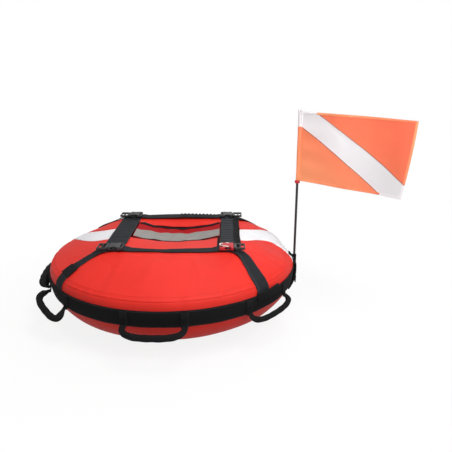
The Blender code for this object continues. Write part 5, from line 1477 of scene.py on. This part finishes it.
rubber = Finish("pole_rubber", 0.7, Specular_IOR_Level=0.2)
rubber.vary(rubber.noise(120.0, 3.0), (0.010, 0.010, 0.010), (0.040, 0.040, 0.042), 0.6, 0.2)
rubber.bump(rubber.noise(900.0), 0.00006)
low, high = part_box("pole_boot")
boot = [(0.0, low.z), (0.0030, low.z), (0.0039, low.z + 0.0012)]
boot += [(0.0039, high.z - 0.0006), (0.0034, high.z), (0.0, high.z)]
piece("pole_boot_rubber", [pole_turned(boot)], rubber, "pole", ["pole_boot"], closed=True)
low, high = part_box("pole_cap")
rim = (high.x - low.x) / 2
share = np.linspace(0.0, math.pi / 2, 10)
cap = [(0.0, low.z), (rim * 0.96, low.z), (rim, low.z + 0.0005)]
cap += [(rim * math.cos(a) ** 0.8, low.z + 0.0012 + (high.z - low.z - 0.0012) * math.sin(a)) for a in share]
white_rubber = Finish("white_rubber", 0.6, Specular_IOR_Level=0.3)
white_rubber.vary(white_rubber.noise(150.0, 3.0), (0.62, 0.61, 0.62), (0.84, 0.83, 0.84), 0.5, 0.2)
piece("pole_cap_rubber", [pole_turned(cap)], white_rubber, "pole", ["pole_cap"], closed=True)
low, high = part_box("flag_stopper")
core = (high.x - low.x) / 2 - 0.0016
middle, half = (low.z + high.z) / 2, (high.z - low.z) / 2
bore = POLE_RADIUS + 0.0003
a = np.linspace(-math.pi / 2, math.pi / 2, 14)
rounded = [(core + 0.0016 * math.cos(t), middle + half * math.sin(t)) for t in a]
stopper = [(bore, low.z)] + rounded + [(bore, high.z), (bore, low.z)]
piece("flag_stopper_ring", [pole_turned(stopper)], red_plastic, "pole", ["flag_stopper"],
      closed=True)

bore, floor_z = POLE_RADIUS + 0.0007, POCKET_LOW + 0.0030
pocket = [(0.0, POCKET_LOW)] + [(POCKET_RADIUS - 0.0002, z) for z in np.linspace(POCKET_LOW, POCKET_HIGH, 40)]
pocket += [(bore + 0.0003, POCKET_HIGH + 0.0002), (bore, POCKET_HIGH - 0.002), (bore, floor_z), (0.0, floor_z)]
piece("pole_pocket_webbing", [pole_turned(pocket)], belt_webbing, "buoy", ["pole_pocket"],
      closed=True)

# Two wings of webbing hold the pocket, and a folded end hangs beside it. Each has an azimuth in degrees, a
# width, a lower end, how far its middle and its lower end stand off, and a thickness.
wings = []
for azimuth, wide, low_end, bulge, flare, thick in (
    (-1.8, 0.034, 0.1090, 0.0050, 0.0, 0.0022),
    (6.2, 0.030, 0.1135, 0.0025, 0.0, 0.0022),
    (-7.7, 0.026, 0.0820, 0.0010, 0.0030, 0.0090),
):
    path = side_path(azimuth, low_end, BELT_TOP + 0.004, 24)
    rise = bulge * np.sin(np.linspace(0.2, math.pi, 24)) ** 2 + flare * np.linspace(0.0, 1.0, 24) ** 1.6
    wings.append(strip_grid(path, wide, BELT_LIFT + BELT_THICKNESS - 0.0003 + rise, thick, 11))
piece("pole_pocket_wings", wings, belt_webbing, "buoy", closed=True)

# The tie's course: azimuth round the pole in degrees, fall below the pocket's rim, and distance off the pocket.
course = np.array([
    (-165, -0.014, 0.013), (-158, -0.004, 0.009), (-140, 0.006, 0.004), (-120, 0.016, 0.0),
    (-108, 0.024, 0.0), (-98, 0.031, 0.0), (-90, 0.040, 0.0), (-84, 0.051, 0.001),
    (-79, 0.065, 0.003), (-75, 0.082, 0.006), (-70, 0.099, 0.007),
])
share = np.linspace(0, len(course) - 1, 90)
angle, fall, off = sampled(course, np.arange(len(course)), share).T
tie = polar(POCKET_RADIUS + 0.0012 + off, np.radians(angle), POCKET_HIGH - fall) + [POLE_X, POLE_Y, 0.0]
tie = relaxed(tie, 8)
outward = unit((tie - [POLE_X, POLE_Y, 0.0]) * [1.0, 1.0, 0.0])
tangent = unit(np.gradient(tie, axis=0))
side = unit(np.cross(tangent, outward))
roll = np.radians(TIE_ROLL) * ramp(2.5 - share, 0.0, 2.0)[:, None]
side = unit(side * np.cos(roll) + np.cross(side, tangent) * np.sin(roll))
taper = 0.35 + 0.65 * ramp(np.minimum(share, share[-1] - share), 0.0, 1.2)
tie_grid = loft(tie, side, np.cross(side, tangent), 0.0046 * taper, 0.0010, 4.0, 18, 0.001)
piece("pole_tie_tape", [tie_grid], belt_webbing, "buoy", ["pole_tie"], closed=True)


# Flag
# Light flag cloth in three sewn pieces, two orange and a white stripe between them, with a folded hem round
# the free edges and a sleeve down the hoist. It hangs from the pole and swings a little to the front.

FLAG_LENGTH = 0.355
FLAG_HEIGHT = 0.220
FLAG_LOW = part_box("flag_sleeve")[0].z
FLAG_START = POLE_RADIUS + 0.0012
FLAG_SWING = 27.0
FLAG_TWIST = 16.0
FLAG_THREAD = 0.0009
ORANGE = (0.98, 0.146, 0.072)


# Shares of the flag's length and height at which the stripe's two edges meet the flag's edges.
STRIPE_AT_TOP = 0.15
STRIPE_AT_HOIST = 0.79
STRIPE_AT_FLY = 0.175
STRIPE_AT_FOOT = 0.81


def flag_swing(rise):
    """Angle in radians to which the flag has swung, at a share of its height. It is more at its lower edge."""
    return -np.radians(FLAG_SWING + FLAG_TWIST * (1 - rise))


def flag_point(u, v):
    """Place of a point of the flag, U out from the pole and V up from its lower edge.

    The flag swings to the front, more at its lower edge, droops along its length, and lies in slow waves with
    finer creases that fan out from the sleeve.
    """
    share, rise = u / FLAG_LENGTH, v / FLAG_HEIGHT
    swing = flag_swing(rise)
    wave = 0.0048 * share ** 0.7 * np.sin(math.tau * (u / 0.210 + 0.22 * rise))
    wave = wave + 0.0012 * share * np.sin(math.tau * (u / 0.083 - 0.7 * rise)) * np.sin(math.pi * rise)
    wave = wave + np.sin(rise * 23.0 + 4.0 * share) * np.exp(-share * 6.0) * 0.0010 * np.clip(share * 12, 0, 1)
    sink = (0.004 + 0.011 * rise) * share ** 1.3
    x = POLE_X + u * np.cos(swing) - wave * np.sin(swing)
    y = POLE_Y + u * np.sin(swing) + wave * np.cos(swing)
    return joined(x, y, FLAG_LOW + v - sink)


def flag_finish(name, colour, light):
    """Thin flag cloth: fine crossing threads, soft creasing in tone, and painted light, paler low by the pole."""
    finish = Finish(name, 0.6, Specular_IOR_Level=0.25)
    along, across, _ = finish.axes("UV")
    threads = (along * (math.tau / FLAG_THREAD)).sine() * (across * (math.tau / FLAG_THREAD)).sine()
    tone = finish.noise(9.0, 2.0) * 0.7 + finish.noise(70.0, 2.0) * 0.3
    # Painted light: the colour grows paler towards the pole and the lower edge, standing in for light on the flag.
    painted_light = 1.0 - along * (0.5 / FLAG_LENGTH) - across * (0.5 / FLAG_HEIGHT)
    finish.feed("Base Color", finish.mix(tone * 0.16 + painted_light * painted_light * 0.84, shaded(colour, 0.92), light))
    finish.feed("Roughness", 0.52 + tone * 0.16)
    finish.bump(threads * 0.5 + tone, 0.00010)
    return finish


# Each second colour is the pale one that the painted light reaches by the pole.
flag_orange = flag_finish("flag_orange", ORANGE, (1.0, 0.41, 0.195))
flag_white = flag_finish("flag_white", WHITE, (0.90, 0.87, 0.89))


def ruled(start, end, count, rows):
    """Flat places between two bent ends: each row runs straight from one end's point to the other's."""
    share = np.linspace(0.0, 1.0, rows)
    first, last = (sampled(np.array(line), np.linspace(0.0, 1.0, len(line)), share) for line in (start, end))
    along = np.linspace(0.0, 1.0, count)[None, :, None]
    return first[:, None] * (1 - along) + last[:, None] * along


def flag_corner(u, v):
    """A corner, from shares of the flag's length and height. At the hoist it lies at the sleeve, not at 0."""
    return (u * FLAG_LENGTH if u > 0 else FLAG_START, v * FLAG_HEIGHT)


hoist_top, fly_top, hoist_foot, fly_foot = (flag_corner(u, v) for u, v in ((0, 1), (1, 1), (0, 0), (1, 0)))
upper_hoist, upper_fly = flag_corner(STRIPE_AT_TOP, 1), flag_corner(1, STRIPE_AT_FLY)
lower_hoist, lower_fly = flag_corner(0, STRIPE_AT_HOIST), flag_corner(STRIPE_AT_FOOT, 0)
for name, finish, slot, start, end in (
    ("flag_fly_panel", flag_orange, "flag_orange", [upper_hoist, fly_top], [upper_fly, fly_top]),
    ("flag_stripe", flag_white, "flag_white", [lower_hoist, hoist_top, upper_hoist],
     [lower_fly, fly_foot, upper_fly]),
    ("flag_hoist_panel", flag_orange, "flag_orange", [lower_hoist, hoist_foot], [lower_fly, hoist_foot]),
):
    flat = ruled(start, end, 150, 61)
    grid = (flag_point(flat[..., 0], flat[..., 1]), flat)
    made = piece(name + "_cloth", [grid], finish, "flag", [name], thickness=0.0005, middle=(0.5, 5, 0.5))


def hem_grid(corners):
    """A folded hem: a flat closed band along an edge of the flag, inside it."""
    half = 0.0035
    flat = even(np.array(corners, float), 90)
    path = flag_point(flat[:, 0], flat[:, 1])
    inside = np.array([FLAG_LENGTH / 2, FLAG_HEIGHT / 2]) - flat.mean(axis=0)
    axis = 0 if abs(corners[-1][0] - corners[0][0]) < 1e-6 else 1
    shift = np.zeros(2)
    shift[axis] = math.copysign(half * 0.8, inside[axis])
    middle = flat + shift
    centre = flag_point(middle[:, 0], middle[:, 1])
    tangent = unit(np.gradient(centre, axis=0))
    side = unit(centre - path)
    return loft(centre, side, unit(np.cross(side, tangent)), half, 0.0007, 5.0, 18, 0.001)


for name, finish, slot, runs in (
    ("flag_hem_orange", flag_orange, "flag_orange",
     ([upper_hoist, fly_top], [fly_top, upper_fly], [hoist_foot, lower_fly])),
    ("flag_hem_white", flag_white, "flag_white",
     ([hoist_top, upper_hoist], [upper_fly, fly_foot], [lower_fly, fly_foot])),
):
    piece(name, [hem_grid(run) for run in runs], finish, "flag", closed=True)
seam_thread = Finish("flag_seam", 0.7, Specular_IOR_Level=0.2)
seam_thread.vary(seam_thread.noise(700.0), (0.34, 0.085, 0.060), (0.60, 0.22, 0.17))
seams = []
for start, end in ((lower_hoist, lower_fly), (upper_hoist, upper_fly)):
    flat = even(np.array([start, end]), 110)
    path = flag_point(flat[:, 0], flat[:, 1])
    tangent = unit(np.gradient(path, axis=0))
    side = unit(flag_point(flat[:, 0] + 0.001, flat[:, 1] + 0.0016) - path)
    side = unit(side - tangent * np.sum(side * tangent, axis=1, keepdims=True))
    seams.append(loft(path, side, unit(np.cross(side, tangent)), 0.0011, 0.0007, 2.4, 12, 0.001))
piece("flag_seams", seams, seam_thread, "flag", closed=True)


def sleeve_grid(low, high):
    """The sleeve: a cloth tube round the pole, a little loose, drawn in to a seam on the flag's side."""
    v = np.linspace(low, high, 50)[:, None]
    azimuth = np.linspace(0.0, math.tau, 49)[None, :]
    lobe = np.clip(np.cos(azimuth - flag_swing(v / FLAG_HEIGHT)), 0.0, 1.0) ** 6
    reach = 0.0053 + 0.0035 * lobe + 0.0002 * np.sin(5 * azimuth + 60 * v)
    return polar(reach, azimuth, v) + [POLE_X, POLE_Y, FLAG_LOW]


split = STRIPE_AT_HOIST * FLAG_HEIGHT
piece("flag_sleeve_orange", [sleeve_grid(0.0, split)], flag_orange, "flag", ["flag_sleeve"],
      thickness=0.0008, middle=(POLE_X, POLE_Y, 0.5))
sleeve_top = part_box("pole_cap")[0].z - FLAG_LOW - 0.0004
piece("flag_sleeve_white", [sleeve_grid(split, sleeve_top)], flag_white, "flag", thickness=0.0008,
      middle=(POLE_X, POLE_Y, 0.5))


# Floor, light and camera
# A white floor that keeps the buoy's shadow, a white backdrop, a large soft lamp above and to the right, two
# weak fills, a narrow lamp on the flag, and a camera at the photograph's place.

FLOOR_Z = -0.0006

corners = [(x, y, FLOOR_Z) for x, y in ((-9, -9), (9, -9), (9, 30), (-9, 30))]
floor_mesh = bpy.data.meshes.new("floor")
floor_mesh.from_pydata(corners, [], [(0, 1, 2, 3)])
floor = bpy.data.objects.new("floor", floor_mesh)
bpy.context.scene.collection.objects.link(floor)
floor_finish = Finish("floor", 0.9, Specular_IOR_Level=0.0)
rays = {}
for kind in ("Camera", "Glossy", "Transmission"):
    rays[kind] = floor_finish.node("ShaderNodeLightPath", {}, {}, "Is " + kind + " Ray")
floor_finish.feed("Base Color", floor_finish.mix(rays["Camera"], (0.36, 0.36, 0.36), (0.90, 0.90, 0.90)))
x, y, _ = floor_finish.axes("Object")
away = ((x * x + y * y) ** 0.5).step(0.48, 0.95)
shown = rays["Camera"] * (0.86 + 0.14 * away) + (rays["Glossy"] + rays["Transmission"]) * 0.5
emission = floor_finish.tree.nodes.new("ShaderNodeEmission")
emission.inputs["Color"].default_value = (1.0, 1.0, 1.0, 1.0)
emission.inputs["Strength"].default_value = 1.0
mixer = floor_finish.tree.nodes.new("ShaderNodeMixShader")
links = floor_finish.tree.links
links.new(shown.socket, mixer.inputs[0])
links.new(floor_finish.shader.outputs[0], mixer.inputs[1])
links.new(emission.outputs[0], mixer.inputs[2])
links.new(mixer.outputs[0], floor_finish.tree.nodes["Material Output"].inputs["Surface"])
floor_mesh.materials.append(floor_finish.material)

world = bpy.data.worlds.new("studio")
bpy.context.scene.world = world
world.use_nodes = True
tree = world.node_tree
background = tree.nodes["Background"]
path = tree.nodes.new("ShaderNodeLightPath")
strength = tree.nodes.new("ShaderNodeMapRange")
strength.inputs["To Min"].default_value = 0.42
strength.inputs["To Max"].default_value = 1.0
background.inputs["Color"].default_value = (1.0, 1.0, 1.0, 1.0)
tree.links.new(path.outputs["Is Camera Ray"], strength.inputs["Value"])
tree.links.new(strength.outputs[0], background.inputs["Strength"])


def lamp(name, place, aim, size, power, spread=180.0):
    """A square area lamp that points at a place. Its spread is the angle that its light fills."""
    light = bpy.data.lights.new(name, "AREA")
    light.shape = "SQUARE"
    light.size = size
    light.energy = power
    light.spread = math.radians(spread)
    made = bpy.data.objects.new(name, light)
    made.location = place
    made.rotation_euler = (Vector(aim) - Vector(place)).to_track_quat("-Z", "Y").to_euler()
    bpy.context.scene.collection.objects.link(made)


lamp("key", (0.8, -1.1, 2.9), (0.10, 0.0, 0.2), 1.5, 62.0)
lamp("fill", (2.2, -1.8, 1.6), (0.3, 0.0, 0.35), 2.0, 21.0)
lamp("back", (0.3, 2.4, 2.2), (0.1, 0.0, 0.3), 1.8, 14.0)
lamp("flag", (-0.6, -1.6, 1.5), (0.43, -0.04, 0.50), 0.3, 0.20, 18.0)

camera_data = bpy.data.cameras.new("camera")
camera_data.lens = 39.82
camera_data.sensor_width = 36.0
camera = bpy.data.objects.new("camera", camera_data)
camera.location = (0.176, -1.593, 0.762)
camera.rotation_euler = (math.radians(90.0 - 17.0), 0.0, 0.0)
bpy.context.scene.collection.objects.link(camera)
bpy.context.scene.camera = camera
bpy.context.scene.view_settings.view_transform = "Standard"
